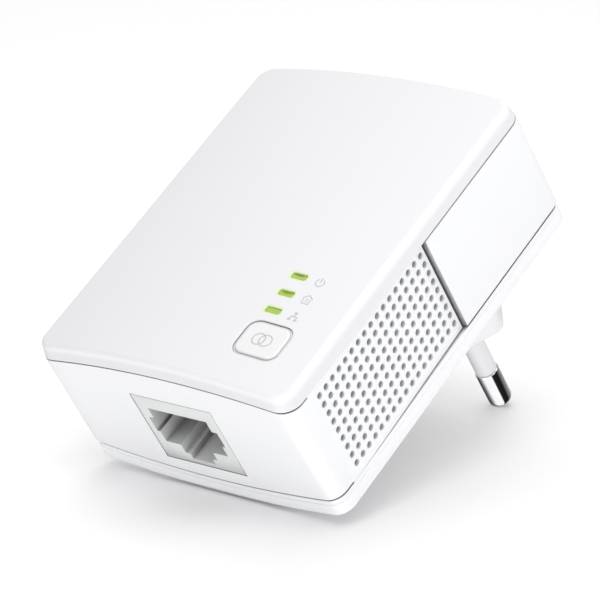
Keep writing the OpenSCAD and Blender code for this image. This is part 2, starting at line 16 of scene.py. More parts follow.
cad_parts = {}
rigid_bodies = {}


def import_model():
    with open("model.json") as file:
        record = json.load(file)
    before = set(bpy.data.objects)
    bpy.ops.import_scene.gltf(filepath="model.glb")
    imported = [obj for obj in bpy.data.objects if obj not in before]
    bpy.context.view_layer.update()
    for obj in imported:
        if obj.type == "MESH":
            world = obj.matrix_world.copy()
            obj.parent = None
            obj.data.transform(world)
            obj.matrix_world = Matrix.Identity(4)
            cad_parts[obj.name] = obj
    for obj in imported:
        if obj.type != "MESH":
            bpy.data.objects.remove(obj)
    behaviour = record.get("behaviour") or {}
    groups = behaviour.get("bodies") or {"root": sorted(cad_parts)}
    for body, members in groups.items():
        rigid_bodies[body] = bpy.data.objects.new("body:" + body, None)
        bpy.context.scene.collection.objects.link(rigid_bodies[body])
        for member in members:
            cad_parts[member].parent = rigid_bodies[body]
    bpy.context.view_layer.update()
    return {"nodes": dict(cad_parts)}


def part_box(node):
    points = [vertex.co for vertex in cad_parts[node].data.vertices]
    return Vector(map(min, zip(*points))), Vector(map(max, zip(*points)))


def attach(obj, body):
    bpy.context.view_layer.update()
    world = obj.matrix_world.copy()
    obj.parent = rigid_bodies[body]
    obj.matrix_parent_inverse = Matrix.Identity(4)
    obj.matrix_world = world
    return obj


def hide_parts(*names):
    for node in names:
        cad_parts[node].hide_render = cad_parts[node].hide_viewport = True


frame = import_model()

# %% [markdown]
# ## Sizes
# The frame is in metres. Small plastic parts read better in millimetres, so every mesh here is
# made in millimetres and scaled once, when it is finished. The overall sizes are read from the
# boxes of the CAD nodes. Only what a box can't tell, such as a radius, is a named value.

# %% Sizes from the frame
MM = 0.001


def cad(node):
    """Low and high corner of a CAD node, in millimetres."""
    low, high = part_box(node)
    return low / MM, high / MM


housing_low, housing_high = cad("middle_housing")
half_w = housing_high.x
bottom, top = housing_low.z, housing_high.z
front_crown = cad("front_cover")[0].y
back_crown = cad("rear_cover")[1].y
# How far the front and the back drop from the middle to the sides, and the radius of that bow.
FACE_BOW = 2.1
bow_radius = (half_w ** 2 + FACE_BOW ** 2) / (2 * FACE_BOW)
# How far each seam lies behind its face, how wide it gapes, and the softness of its two edges.
FRONT_SKIRT, REAR_SKIRT = 2.7, 3.4
SEAM_GAP, REAR_GAP = 0.24, 0.34
SOFT = 0.14
# Wall thickness of the sides, of the front and of the back.
WALL, FRONT_WALL, REAR_WALL = 2.0, 1.6, 1.8
print(f"body {2 * half_w:.1f} x {top - bottom:.1f} mm")
print(f"front at {front_crown:.1f} mm, back at {back_crown:.1f} mm")


def bow(x):
    """How far the bowed faces have dropped at a distance x from the middle."""
    return bow_radius - math.sqrt(bow_radius ** 2 - min(x * x, half_w ** 2))


def front_face(x):
    return front_crown + bow(x)


def back_face(x):
    return back_crown - bow(x)


def front_seam(x):
    return front_crown + FRONT_SKIRT + bow(x)


def rear_seam(x):
    return back_crown - REAR_SKIRT - bow(x)


# %% [markdown]
# ## Camera and stage
# The object lies on a pale floor, on its bottom rear edge and on the tips of its pins. The CAD
# model keeps its own upright frame, so the floor is tilted here instead of the object. The
# camera is a long lens, far away, which keeps the box's edges nearly parallel.

# %% Camera
AZIMUTH, ELEVATION, ROLL = map(math.radians, (46.9, -27.73, 37.75))
DISTANCE, LENS = 450.79, 174.39
TARGET = Vector((-0.31, -22.17, -19.01))
to_camera = Vector((math.sin(AZIMUTH) * math.cos(ELEVATION),
                    -math.cos(AZIMUTH) * math.cos(ELEVATION),
                    math.sin(ELEVATION)))
level = (-to_camera).cross(Vector((0, 0, 1))).normalized()
raised = level.cross(-to_camera)
right = level * math.cos(ROLL) + raised * math.sin(ROLL)
up = raised * math.cos(ROLL) - level * math.sin(ROLL)

camera = bpy.data.objects.new("camera", bpy.data.cameras.new("camera"))
bpy.context.scene.collection.objects.link(camera)
camera.matrix_world = Matrix.Translation((TARGET + to_camera * DISTANCE) * MM) @ Matrix(
    (right, up, to_camera)).transposed().to_4x4()
camera.data.lens = LENS
camera.data.clip_start, camera.data.clip_end = 0.01, 20
bpy.context.scene.camera = camera
print(f"camera {DISTANCE:.0f} mm away, with a lens of {LENS:.0f} mm")

# %% [markdown]
# ## Shader maths in plain Python
# A procedural finish is a sum of small formulas. Wrapping a socket in a class with operators
# lets them be written as formulas, and each operator adds its Math node.

# %% A socket that can be used in an expression


class Value:
    """A socket of a paint's node tree. Arithmetic on it adds Math nodes."""

    def __init__(self, paint, socket):
        self.paint, self.socket = paint, socket

    def _math(self, operation, other, swap=False):
        pair = (other, self) if swap else (self, other)
        return self.paint.node("ShaderNodeMath", {"operation": operation}, {0: pair[0], 1: pair[1]})

    def __add__(self, other):
        return self._math("ADD", other)

    def __radd__(self, other):
        return self._math("ADD", other)

    def __sub__(self, other):
        return self._math("SUBTRACT", other)

    def __rsub__(self, other):
        return self._math("SUBTRACT", other, swap=True)

    def __mul__(self, other):
        return self._math("MULTIPLY", other)

    def __rmul__(self, other):
        return self._math("MULTIPLY", other)

    def __truediv__(self, other):
        return self._math("DIVIDE", other)

    def __lt__(self, other):
        return self._math("LESS_THAN", other)

    def __gt__(self, other):
        return self._math("GREATER_THAN", other)

    def abs(self):
        return self._math("ABSOLUTE", 0.0)

    def max(self, other):
        return self._math("MAXIMUM", other)


# %% [markdown]
# A paint is one material under construction. One method adds any node: its settings first,
# then the numbers or the links of its sockets. The patterns that several finishes share, such as
# fine noise, a soft threshold or a test for narrow gaps, are small methods on top of it. All of
# them read Object coordinates, so a pattern stays on its piece when the piece moves.

# %% A material under construction


class Paint:
    """One material under construction: its nodes, its shader and its patterns."""

    def __init__(self, name, colour, roughness, metallic=0.0, **settings):
        self.material = bpy.data.materials.new(name)
        self.material.use_nodes = True
        self.tree = self.material.node_tree
        self.shader = self.tree.nodes["Principled BSDF"]
        self.shader.inputs["Base Color"].default_value = (*colour, 1)
        self.shader.inputs["Roughness"].default_value = roughness
        self.shader.inputs["Metallic"].default_value = metallic
        for socket, value in settings.items():
            self.shader.inputs[socket.replace("_", " ")].default_value = value
        self.material.diffuse_color = (*colour, 1)

    def node(self, kind, settings=None, inputs=None, output=0):
        """Add a node. The setting stops is a ramp's list of (position, grey) pairs."""
        made = self.tree.nodes.new(kind)
        for key, value in (settings or {}).items():
            if key == "stops":
                self.set_stops(made.color_ramp.elements, value)
            else:
                setattr(made, key, value)
        for key, value in (inputs or {}).items():
            if isinstance(value, Value):
                self.tree.links.new(value.socket, made.inputs[key])
            elif value is not None:
                made.inputs[key].default_value = value
        return Value(self, made.outputs[output])

    @staticmethod
    def set_stops(elements, stops):
        for at, _ in stops[1:-1]:
            elements.new(at)
        for element, (at, grey) in zip(elements, stops):
            element.position = at
            element.color = (grey, grey, grey, 1)

    def place(self):
        """Object coordinates, in metres."""
        return self.node("ShaderNodeTexCoord", output="Object")

    def axes(self):
        """Object coordinates in millimetres, as three values."""
        split = self.node("ShaderNodeSeparateXYZ", inputs={0: self.place()})
        return [Value(self, split.socket.node.outputs[i]) * (1 / MM) for i in range(3)]

    def noise(self, scale, detail=3.0, roughness=0.5):
        return self.node("ShaderNodeTexNoise", inputs={
            "Vector": self.place(), "Scale": scale, "Detail": detail, "Roughness": roughness})

    def spread(self, value, low, high):
        """A value from 0 to 1, stretched from low to high."""
        return value * (high - low) + low

    def blend(self, share, first, second):
        """The first colour where share is 0 and the second where it is 1."""
        mixed = self.node("ShaderNodeMix", {"data_type": "RGBA"}, {0: share}, output=2)
        for slot, colour in ((6, first), (7, second)):
            if isinstance(colour, Value):
                self.tree.links.new(colour.socket, mixed.socket.node.inputs[slot])
            else:
                mixed.socket.node.inputs[slot].default_value = (*colour, 1)
        return mixed

    def smooth(self, value, start, end):
        """0 where value is at start and 1 at end, with a soft curve between."""
        return self.node("ShaderNodeMapRange", {"interpolation_type": "SMOOTHSTEP"},
                         {"Value": value, "From Min": start, "From Max": end})

    def openness(self, reach, start, end):
        """0 in a gap or a corner narrower than reach millimetres, 1 on an open face."""
        open_air = self.node("ShaderNodeAmbientOcclusion", {"samples": 8},
                             {"Distance": reach * MM}, output=1)
        return self.smooth(open_air, start, end)

    def feed(self, socket, value):
        self.tree.links.new(value.socket, self.shader.inputs[socket])

    def bump(self, height, depth):
        """Raise the surface by up to depth metres where height is 1."""
        self.feed("Normal", self.node("ShaderNodeBump", inputs={
            "Height": height, "Strength": 1.0, "Distance": depth}))


# %% [markdown]
# ## White moulded plastic
# The shells are moulded in white ABS with a fine satin texture: too fine to see as grain, but
# it breaks up every highlight. One function makes the whites, because they differ only a
# little in tone, in sheen and in how coarse the texture of the mould is.
#
# In a bright, even room a white gap would fill with light that bounces from white wall to white
# wall, and the seams would vanish. In a real housing the gaps lead into a dark case that the
# light doesn't reach, so that shade is painted into the colour here. An Ambient Occlusion node
# tells how closed the space in front of a point is. The painted shade darkens the colour in a gap
# and leaves the open faces alone, and because it looks at the shape, not at the camera, the
# painted shade stays where it is in every view.

# %% White plastics


def white_plastic(name, colour, roughness, gap, grain=2600, depth=2.5e-6):
    """gap: the painted gap shade: its reach in mm, the openness of a full gap and of an open face, and the
    tone of the shade.
    """
    paint = Paint(name, colour, roughness, IOR=1.49)
    drift = paint.noise(35, 2)
    unshaded = paint.blend(drift, colour, [c * 0.985 for c in colour])
    reach, shut, wide_open, tone = gap
    painted_shade = [c * tone for c in colour]
    # Painted shade: the colour darkens where the Ambient Occlusion node finds a narrow gap or corner.
    paint.feed("Base Color", paint.blend(paint.openness(reach, shut, wide_open), painted_shade, unshaded))
    texture = paint.noise(grain, 2, 0.6)
    paint.feed("Roughness", paint.spread(texture, roughness - 0.05, roughness + 0.06))
    paint.bump(texture, depth)
    print(f"{name}: tone {tone} in gaps narrower than {reach} mm")
    return paint


# The gap tuple of each white sets the painted shade in its gaps and corners.
cover_paint = white_plastic("cover_white", (0.865, 0.862, 0.890), 0.36, (1.2, 0.25, 0.8, 0.30))
case_paint = white_plastic("case_white", (0.857, 0.860, 0.880), 0.40, (2.4, 0.48, 1.0, 0.22))
rear_paint = white_plastic("rear_white", (0.857, 0.860, 0.880), 0.40, (1.0, 0.25, 0.8, 0.28))
grille_paint = white_plastic("grille_white", (0.86, 0.865, 0.875), 0.40, (1.6, 0.10, 0.75, 0.36))
block_paint = white_plastic("block_white", (0.80, 0.80, 0.815), 0.42, (5.0, 0.25, 1.0, 0.60))
button_paint = white_plastic("button_white", (0.87, 0.87, 0.875), 0.34, (1.2, 0.25, 0.8, 0.60))
sleeve_paint = white_plastic("sleeve_white", (0.77, 0.77, 0.79), 0.30, (4.0, 0.30, 1.0, 0.75),
                             1500, 1.5e-6)
socket_paint = white_plastic("socket_grey", (0.72, 0.735, 0.73), 0.45, (9.0, 0.15, 0.95, 0.09),
                             1800, 3e-6)

# %% [markdown]
# Two things are painted over the front cover. Its skirt, the rim that turns back from the face,
# gets painted shade: a slightly greyer white, so that the face stands out from its edge. And the
# light that leaks from the three lamps into the plastic around them is painted in as a glow: a
# soft ring around each window, made from the distance to a rectangle, turned into a colour.

# %% The cover's painted skirt shade and the painted glow around the lamps
LIGHT_W, LIGHT_H, LIGHT_PITCH, LIGHT_COUNT = 2.8, 1.05, 3.54, 3
# The painted shade on the skirt: how far behind the face it starts, and its greyer white.
SKIRT_SHADE_STARTS, SKIRT_SHADE_WHITE = 0.5, (0.755, 0.755, 0.782)
# The painted glow round the lamps: its colour and how much of it shows.
GLOW, GLOW_SHARE = (0.72, 0.86, 0.38), 0.85
light_low, light_high = cad("light_pipe")
light_x = (light_low.x + light_high.x) / 2
light_mid = (light_low.z + light_high.z) / 2
light_zs = [light_mid + (i - 1) * LIGHT_PITCH for i in range(LIGHT_COUNT)]

x, y, z = cover_paint.axes()
white = Value(cover_paint, cover_paint.shader.inputs["Base Color"].links[0].from_socket)
# Painted shade: behind the crown of the face the cover turns a greyer white.
behind_face = y - front_crown - x * x * (0.5 / bow_radius)
skirt_shade = cover_paint.smooth(behind_face, SKIRT_SHADE_STARTS, SKIRT_SHADE_STARTS + 1.0)
white = cover_paint.blend(skirt_shade, white, SKIRT_SHADE_WHITE)
glow = None
for centre in light_zs:
    across = ((x - light_x).abs() - (LIGHT_W / 2 - 0.2)).max(0.0)
    along = ((z - centre).abs() - (LIGHT_H / 2 - 0.2)).max(0.0)
    away = cover_paint.node("ShaderNodeMath", {"operation": "SQRT"},
                            {0: across * across + along * along})
    ring = 1.0 - cover_paint.smooth(away, 0.1, 0.85)
    glow = ring if glow is None else glow.max(ring)
# The painted glow goes into the cover's base colour.
cover_paint.feed("Base Color", cover_paint.blend(glow * GLOW_SHARE, white, GLOW))
print(f"{LIGHT_COUNT} lamps at z", *(f"{centre:.2f}" for centre in light_zs))

# %% [markdown]
# ## A skin of rings
# Every shell is a stack of closed rings with the same number of points, bridged by quads, and
# its flat ends are filled by a triangulation that keeps clear of holes. The rings follow the
# bowed faces, so a ring is an outline plus a rule for its depth.

# %% Outlines


def rounded_polygon(corners, radii, arc=8, straight=1):
    """Points and outward directions of a polygon with round corners, counter-clockwise."""
    points, normals = [], []
    count = len(corners)
    for i in range(count):
        here = Vector(corners[i])
        back = (Vector(corners[i - 1]) - here).normalized()
        ahead = (Vector(corners[(i + 1) % count]) - here).normalized()
        half = back.angle(ahead) / 2
        radius = radii[i] if isinstance(radii, (list, tuple)) else radii
        centre = here + (back + ahead).normalized() * (radius / math.sin(half))
        start = Vector((back.y, -back.x)) * -1
        turn = math.pi - 2 * half
        for step in range(arc + 1):
            a = turn * step / arc
            n = Vector((start.x * math.cos(a) - start.y * math.sin(a),
                        start.x * math.sin(a) + start.y * math.cos(a)))
            points.append(centre + n * radius)
            normals.append(n)
    full_points, full_normals = [], []
    per_corner = arc + 1
    for i in range(count):
        full_points += points[i * per_corner:(i + 1) * per_corner]
        full_normals += normals[i * per_corner:(i + 1) * per_corner]
        a, b = full_points[-1], points[((i + 1) * per_corner) % len(points)]
        n = full_normals[-1]
        steps = straight[i % len(straight)] if isinstance(straight, (list, tuple)) else straight
        for step in range(1, steps):
            full_points.append(a.lerp(b, step / steps))
            full_normals.append(n)
    return [(p, n) for p, n in zip(full_points, full_normals)]


def rounded_rectangle(half_x, low, high, radius, arc=8, across=26, along=30):
    corners = [(-half_x, low), (half_x, low), (half_x, high), (-half_x, high)]
    return rounded_polygon(corners, radius, arc, [across, along])


def inset(outline, distance):
    """The outline's points, moved inwards, or outwards by a negative distance."""
    return [p - n * distance for p, n in outline]


def body_outline(radius):
    return rounded_rectangle(half_w, bottom, top, radius)


print(len(body_outline(1.0)), "points round the body")

# %% [markdown]
# The skin keeps the mesh and, for each point, its place in the flat outline, because a flat
# end is filled by its outline and not by its bowed face. Points are given as (u, v) in the
# outline and a depth; place says which way the outline faces in space. The fill adds a grid
# of extra points, so that a bowed face bends smoothly between its edges.

# %% The skin


class Skin:
    """A mesh made of rings, in millimetres. place turns (u, v, depth) into a point."""

    def __init__(self, place=lambda u, v, d: (u, d, v)):
        self.mesh = bmesh.new()
        self.place = place
        self.flat = {}

    def ring(self, points, depth):
        """A closed ring; depth is a number, or a rule of the first coordinate."""
        made = []
        for u, v in points:
            d = depth(u) if callable(depth) else depth
            vertex = self.mesh.verts.new(self.place(u, v, d))
            self.flat[vertex] = (u, v)
            made.append(vertex)
        return made

    def bridge(self, rings, closed=False):
        """Quads from each ring to the next, and from the last to the first if closed."""
        pairs = list(zip(rings, rings[1:])) + ([(rings[-1], rings[0])] if closed else [])
        for first, second in pairs:
            count = len(first)
            for i in range(count):
                j = (i + 1) % count
                self.mesh.faces.new((first[i], first[j], second[j], second[i]))

    def fill(self, outer, holes=(), depth=0.0, pitch=2.2):
        """Triangles between a ring and the holes in it, with extra points on a curved face."""
        loops = [outer, *holes]
        polygons = [np.array([self.flat[v] for v in loop]) for loop in loops]
        vertices = [v for loop in loops for v in loop]
        flat = [Vector(self.flat[v]) for v in vertices]
        edges, start = [], 0
        for loop in loops:
            edges += [(start + i, start + (i + 1) % len(loop)) for i in range(len(loop))]
            start += len(loop)

        def on_face(u, v):
            return inside(polygons[0], u, v) and not any(inside(p, u, v) for p in polygons[1:])

        if pitch:
            low, high = polygons[0].min(0), polygons[0].max(0)
            border = np.array([tuple(p) for p in flat])
            for u in np.arange(low[0] + pitch / 2, high[0], pitch):
                for v in np.arange(low[1] + pitch / 2, high[1], pitch):
                    clear = np.hypot(*(border - (u, v)).T).min() > pitch * 0.45
                    if clear and on_face(u, v):
                        flat.append(Vector((u, v)))
        points, _, faces, origin, _, _ = geometry.delaunay_2d_cdt(flat, edges, [], 0, 1e-5)
        corner = []
        for point, source in zip(points, origin):
            known = [i for i in source if i < len(vertices)]
            corner.append(vertices[known[0]] if known else self.ring([point], depth)[0])
        for face in faces:
            u, v = sum((points[i] for i in face), Vector((0, 0))) / len(face)
            if on_face(u, v):
                self.mesh.faces.new([corner[i] for i in face])

    def finish(self, name, paint, smooth_angle=30, bevel=None):
        bmesh.ops.recalc_face_normals(self.mesh, faces=self.mesh.faces)
        return finish_mesh(self.mesh, name, paint, smooth_angle, bevel)


def inside(polygon, u, v):
    """Is the point in the polygon? Counts the edges that a ray to the right crosses."""
    a, b = polygon, np.roll(polygon, -1, 0)
    crosses = (a[:, 1] > v) != (b[:, 1] > v)
    with np.errstate(divide="ignore", invalid="ignore"):
        at = a[:, 0] + (v - a[:, 1]) * (b[:, 0] - a[:, 0]) / (b[:, 1] - a[:, 1])
    return bool((crosses & (at > u)).sum() % 2)


# %% [markdown]
# A finished piece is an ordinary mesh in metres, at the origin. Modifiers such as Bevel and
# Boolean are only tools here: what they make is read from the evaluated piece and becomes its
# own mesh, and the modifier goes. Sharp edges are marked by their angle, so that rounded rims
# shade softly and flat walls stay crisp.

# %% Finishing, cutting and placing a piece


def finish_mesh(mesh, name, paint, smooth_angle=30, bevel=None):
    """Scale to metres, shade, and link the piece. bevel rounds its sharp edges, in millimetres."""
    bmesh.ops.scale(mesh, vec=(MM, MM, MM), verts=mesh.verts)
    for face in mesh.faces:
        face.smooth = True
    data = bpy.data.meshes.new(name)
    mesh.to_mesh(data)
    mesh.free()
    piece = bpy.data.objects.new(name, data)
    bpy.context.scene.collection.objects.link(piece)
    data.materials.append(paint.material)
    if bevel:
        modifier = piece.modifiers.new("soft_edges", "BEVEL")
        modifier.width, modifier.segments = bevel * MM, 3
        modifier.limit_method, modifier.angle_limit = "ANGLE", math.radians(35)
        modifier.use_clamp_overlap = True
        apply_modifiers(piece)
    piece.data.set_sharp_from_angle(angle=math.radians(smooth_angle))
    return piece


def apply_modifiers(piece):
    """Turn what the modifiers make into the piece's own mesh."""
    evaluated = piece.evaluated_get(bpy.context.evaluated_depsgraph_get())
    made = bpy.data.meshes.new_from_object(evaluated)
    piece.modifiers.clear()
    old, piece.data = piece.data, made
    made.name = piece.name
    bpy.data.meshes.remove(old)


def cut(piece, *cutters):
    """Take the cutters out of the piece, and remove them."""
    for cutter in cutters:
        modifier = piece.modifiers.new("cut", "BOOLEAN")
        modifier.operation, modifier.solver, modifier.object = "DIFFERENCE", "EXACT", cutter
    apply_modifiers(piece)
    for cutter in cutters:
        bpy.data.objects.remove(cutter)


def box_cutter(low, high):
    """A block between two corners, to be cut away."""
    mesh = bmesh.new()
    bmesh.ops.create_cube(mesh, size=1)
    for vertex in mesh.verts:
        vertex.co = [low[i] + (vertex.co[i] + 0.5) * (high[i] - low[i]) for i in range(3)]
    return finish_mesh(mesh, "cutter", case_paint)


def stand(piece, *nodes, body="case", slot="white_case_plastic"):
    """The piece stands for the CAD nodes, which it hides, and rides on their body. The slot is not used."""
    if nodes:
        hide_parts(*nodes)
    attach(piece, body)
    print(f"{piece.name}: {len(piece.data.polygons)} faces")
    return piece


def quarter(radius, steps=3):
    """(inset, depth) along a rounded edge, from the side to the face."""
    return [(radius * (1 - math.cos(a)), radius * (1 - math.sin(a)))
            for a in (math.pi / 2 * i / steps for i in range(steps + 1))]


# %% [markdown]
# ## Front cover
# A shallow lid with a bowed face. Its skirt flares a little towards the seam, its edge is
# rounded, and the openings for the button and the lamps have tiny rounded rims. The seam is a
# real gap between two soft edges, which is what makes it read as a thin dark line.

# %% Front cover
FRONT_R, EDGE_R, FLARE, RIM = 3.2, 0.75, 0.4, 0.16
BUTTON_W, BUTTON_H, BUTTON_R = 8.4, 6.9, 2.0
WINDOW_R = 0.3
button_low, button_high = cad("pair_button")
button_x = (button_low.x + button_high.x) / 2
button_z = (button_low.z + button_high.z) / 2


def window(centre_x, centre_z, width, height, radius, arc=6, straight=4):
    """The outline of a rectangle with round corners, anywhere on the face."""
    x0, x1 = centre_x - width / 2, centre_x + width / 2
    z0, z1 = centre_z - height / 2, centre_z + height / 2
    return rounded_polygon([(x0, z0), (x1, z0), (x1, z1), (x0, z1)], radius, arc, straight)


def shifted(rule, by):
    """A depth rule, moved back by some millimetres."""
    return lambda u: rule(u) + by


outline = body_outline(FRONT_R)
skin = Skin()
rings = [skin.ring(inset(outline, WALL), shifted(front_seam, -SEAM_GAP / 2))]
for back, depth in reversed(quarter(SOFT)):
    rings.append(skin.ring(inset(outline, back), shifted(front_seam, depth - SOFT - SEAM_GAP / 2)))
for back, depth in quarter(EDGE_R, 6):
    rings.append(skin.ring(inset(outline, FLARE + back), shifted(front_face, depth)))
rings.append(skin.ring(inset(outline, FLARE + EDGE_R + 0.06), front_face))
inner = skin.ring(inset(outline, WALL), shifted(front_face, FRONT_WALL))
skin.bridge(rings)
skin.bridge([rings[0], inner])
openings = [window(button_x, button_z, BUTTON_W, BUTTON_H, BUTTON_R)]
openings += [window(light_x, z, LIGHT_W, LIGHT_H, WINDOW_R, 4, 3) for z in light_zs]
outer_holes, inner_holes = [], []
for hole in openings:
    around = [skin.ring(inset(hole, -RIM - 0.05), front_face)]
    for back, depth in quarter(RIM, 3)[::-1]:
        around.append(skin.ring(inset(hole, -back), shifted(front_face, depth)))
    around.append(skin.ring(inset(hole, 0), shifted(front_face, FRONT_WALL)))
    skin.bridge(around)
    outer_holes.append(around[0])
    inner_holes.append(around[-1])
skin.fill(rings[-1], outer_holes, front_face)
skin.fill(inner, inner_holes, shifted(front_face, FRONT_WALL))
front_cover = skin.finish("front_cover_shell", cover_paint)
stand(front_cover, "front_cover", slot="white_cover_plastic")

# %% [markdown]
# ## Middle housing
# A tube with round corners between two bowed seams. Its corners get a little tighter towards
# the back. The windows for the grilles and the socket are cut with exact booleans, because
# they go through flat walls, where a boolean leaves nothing to mend.

# %% Middle housing
HOUSING_FRONT_R, HOUSING_REAR_R = 2.9, 2.5
# The grille: how far it leans in at its top, its thickness, and the rail that it rests on.
VENT_STEP, VENT_PLATE, RAIL = 0.9, 1.0, 1.1
# The gap round the network socket.
CLEARANCE = 0.12
grille_low, grille_high = cad("right_grille")
jack_low, jack_high = cad("rj45_jack")
first, last = body_outline(HOUSING_FRONT_R), body_outline(HOUSING_REAR_R)
skin = Skin()
rings = [skin.ring(inset(first, WALL), shifted(front_seam, SEAM_GAP / 2))]
for back, depth in reversed(quarter(SOFT)):
    rings.append(skin.ring(inset(first, back), shifted(front_seam, depth + SEAM_GAP / 2)))
for back, depth in quarter(SOFT):
    rings.append(skin.ring(inset(last, back), shifted(rear_seam, -depth - REAR_GAP / 2)))
rings.append(skin.ring(inset(last, WALL), shifted(rear_seam, -REAR_GAP / 2)))
skin.bridge(rings, closed=True)
housing = skin.finish("middle_housing_shell", case_paint)


def pocket_cutter(side):
    """What the leaning grille plate and the step above it take out of the side wall."""
    mesh = bmesh.new()
    low_x, high_x = half_w - VENT_PLATE, half_w - VENT_STEP - VENT_PLATE
    corners = [(low_x, grille_low.z), (half_w + 1, grille_low.z), (half_w + 1, grille_high.z),
               (high_x, grille_high.z)]
    ends = [[mesh.verts.new((side * cx, y, cz)) for cx, cz in corners]
            for y in (front_crown, back_crown)]
    mesh.faces.new(ends[0])
    mesh.faces.new(ends[1][::-1])
    for i in range(4):
        j = (i + 1) % 4
        mesh.faces.new((ends[0][i], ends[1][i], ends[1][j], ends[0][j]))
    bmesh.ops.recalc_face_normals(mesh, faces=mesh.faces)
    return finish_mesh(mesh, "cutter", case_paint)


cutters = [box_cutter((jack_low.x - CLEARANCE, jack_low.y - CLEARANCE, bottom - 1),
                      (jack_high.x + CLEARANCE, jack_high.y + CLEARANCE, bottom + WALL + 1))]
for side in (-1, 1):
    cutters.append(pocket_cutter(side))
    xs = sorted((side * (half_w - WALL - 1), side * (half_w + 1)))
    cutters.append(box_cutter((xs[0], grille_low.y + RAIL, grille_low.z + 0.01),
                              (xs[1], grille_high.y - RAIL, grille_high.z - 0.01)))
cut(housing, *cutters)
housing.data.set_sharp_from_angle(angle=math.radians(30))
stand(housing, "middle_housing")

# %% [markdown]
# ## Side grilles
# Each grille is a plate with 17 rows of 9 round holes that leans inwards as it rises, so that
# a step is left above it. The holes repeat, so Geometry Nodes make them: one cell, a square
# with a rounded hole in it, is placed on a grid of points, joined to a plain rim, and leaned.

# %% One cell of a grille
HOLE_R, HOLE_SOFT, PITCH, ROWS, COLUMNS = 0.55, 0.06, 1.8, 17, 9
# Points along one side of a cell, the lowest row's height over the end of the body, and the gap
# that the plate leaves under the step.
PER_SIDE, FIRST_ROW, STEP_GAP = 4, 6.35, 0.35


def square(half):
    """Points round a square, with corners, counter-clockwise."""
    corners = [Vector(c) * half for c in ((-1, -1), (1, -1), (1, 1), (-1, 1))]
    return [corners[i].lerp(corners[(i + 1) % 4], s / PER_SIDE)
            for i in range(4) for s in range(PER_SIDE)]


def side_place(u, v, d):
    """The side walls face along x: u is the depth axis and v is up."""
    return (d, u, v)


def cell_ring(skin, radius, depth):
    return skin.ring([p.normalized() * radius for p in square(1)], depth)


skin = Skin(side_place)
skin.bridge([skin.ring(square(PITCH / 2), -VENT_PLATE), cell_ring(skin, HOLE_R, -VENT_PLATE),
             cell_ring(skin, HOLE_R, -HOLE_SOFT), cell_ring(skin, HOLE_R + HOLE_SOFT, 0),
             skin.ring(square(PITCH / 2), 0)])
cell = finish_mesh(skin.mesh, "grille_cell", grille_paint)

hole_z = (bottom + FIRST_ROW, bottom + FIRST_ROW + (ROWS - 1) * PITCH)
mid_y, mid_z = (grille_low.y + grille_high.y) / 2, sum(hole_z) / 2
print(f"one cell: {PITCH} mm square, with a hole of {2 * HOLE_R} mm")

# %% [markdown]
# The rim is the solid border round the field of holes. Its inner edge has the same points as
# the cells at the border of the field, so the two merge without a seam.

# %% The rim


def lattice(half_u, half_v):
    """The border of the field of cells, with the cells' own points on it."""
    us, vs = PER_SIDE * COLUMNS, PER_SIDE * ROWS
    path = [(-half_u + 2 * half_u * i / us, -half_v) for i in range(us)]
    path += [(half_u, -half_v + 2 * half_v * i / vs) for i in range(vs)]
    path += [(half_u - 2 * half_u * i / us, half_v) for i in range(us)]
    path += [(-half_u, half_v - 2 * half_v * i / vs) for i in range(vs)]
    return path


def rim_ring(skin, back, depth):
    """The plate's own edge: soft towards the seams, square at the top and the bottom."""
    half_u = (grille_high.y - grille_low.y) / 2 - SEAM_GAP / 2 - back
    low_v, high_v = grille_low.z - mid_z, grille_high.z - mid_z - STEP_GAP
    path = [(u * half_u, low_v + (v + 1) / 2 * (high_v - low_v)) for u, v in lattice(1, 1)]
    return skin.ring(path, depth)


skin = Skin(side_place)
field = COLUMNS * PITCH / 2, ROWS * PITCH / 2
rings = [skin.ring(lattice(*field), 0)]
for back, depth in quarter(SOFT)[::-1]:
    rings.append(rim_ring(skin, back, -depth))
rings += [rim_ring(skin, 0, -VENT_PLATE), skin.ring(lattice(*field), -VENT_PLATE)]
skin.bridge(rings)
rim = finish_mesh(skin.mesh, "grille_rim", grille_paint)
print(f"rim round a field of {COLUMNS} by {ROWS} cells")

# %% [markdown]
# The tree has named inputs for the two shapes, the numbers of rows and columns, the pitch and
# the lean. It puts a cell on each point of a grid, joins the rim, merges the points that meet,
# and pushes the plate inwards in proportion to the height over its foot. It ends in real
# geometry, which becomes the piece's own mesh.

# %% The node tree
GRILLE_INPUTS = {"Cell": "Object", "Rim": "Object", "Rows": "Int", "Columns": "Int", "Pitch": "Float",
                 "Lean": "Float", "Middle": "Vector", "Foot": "Float", "Finish": "Material"}


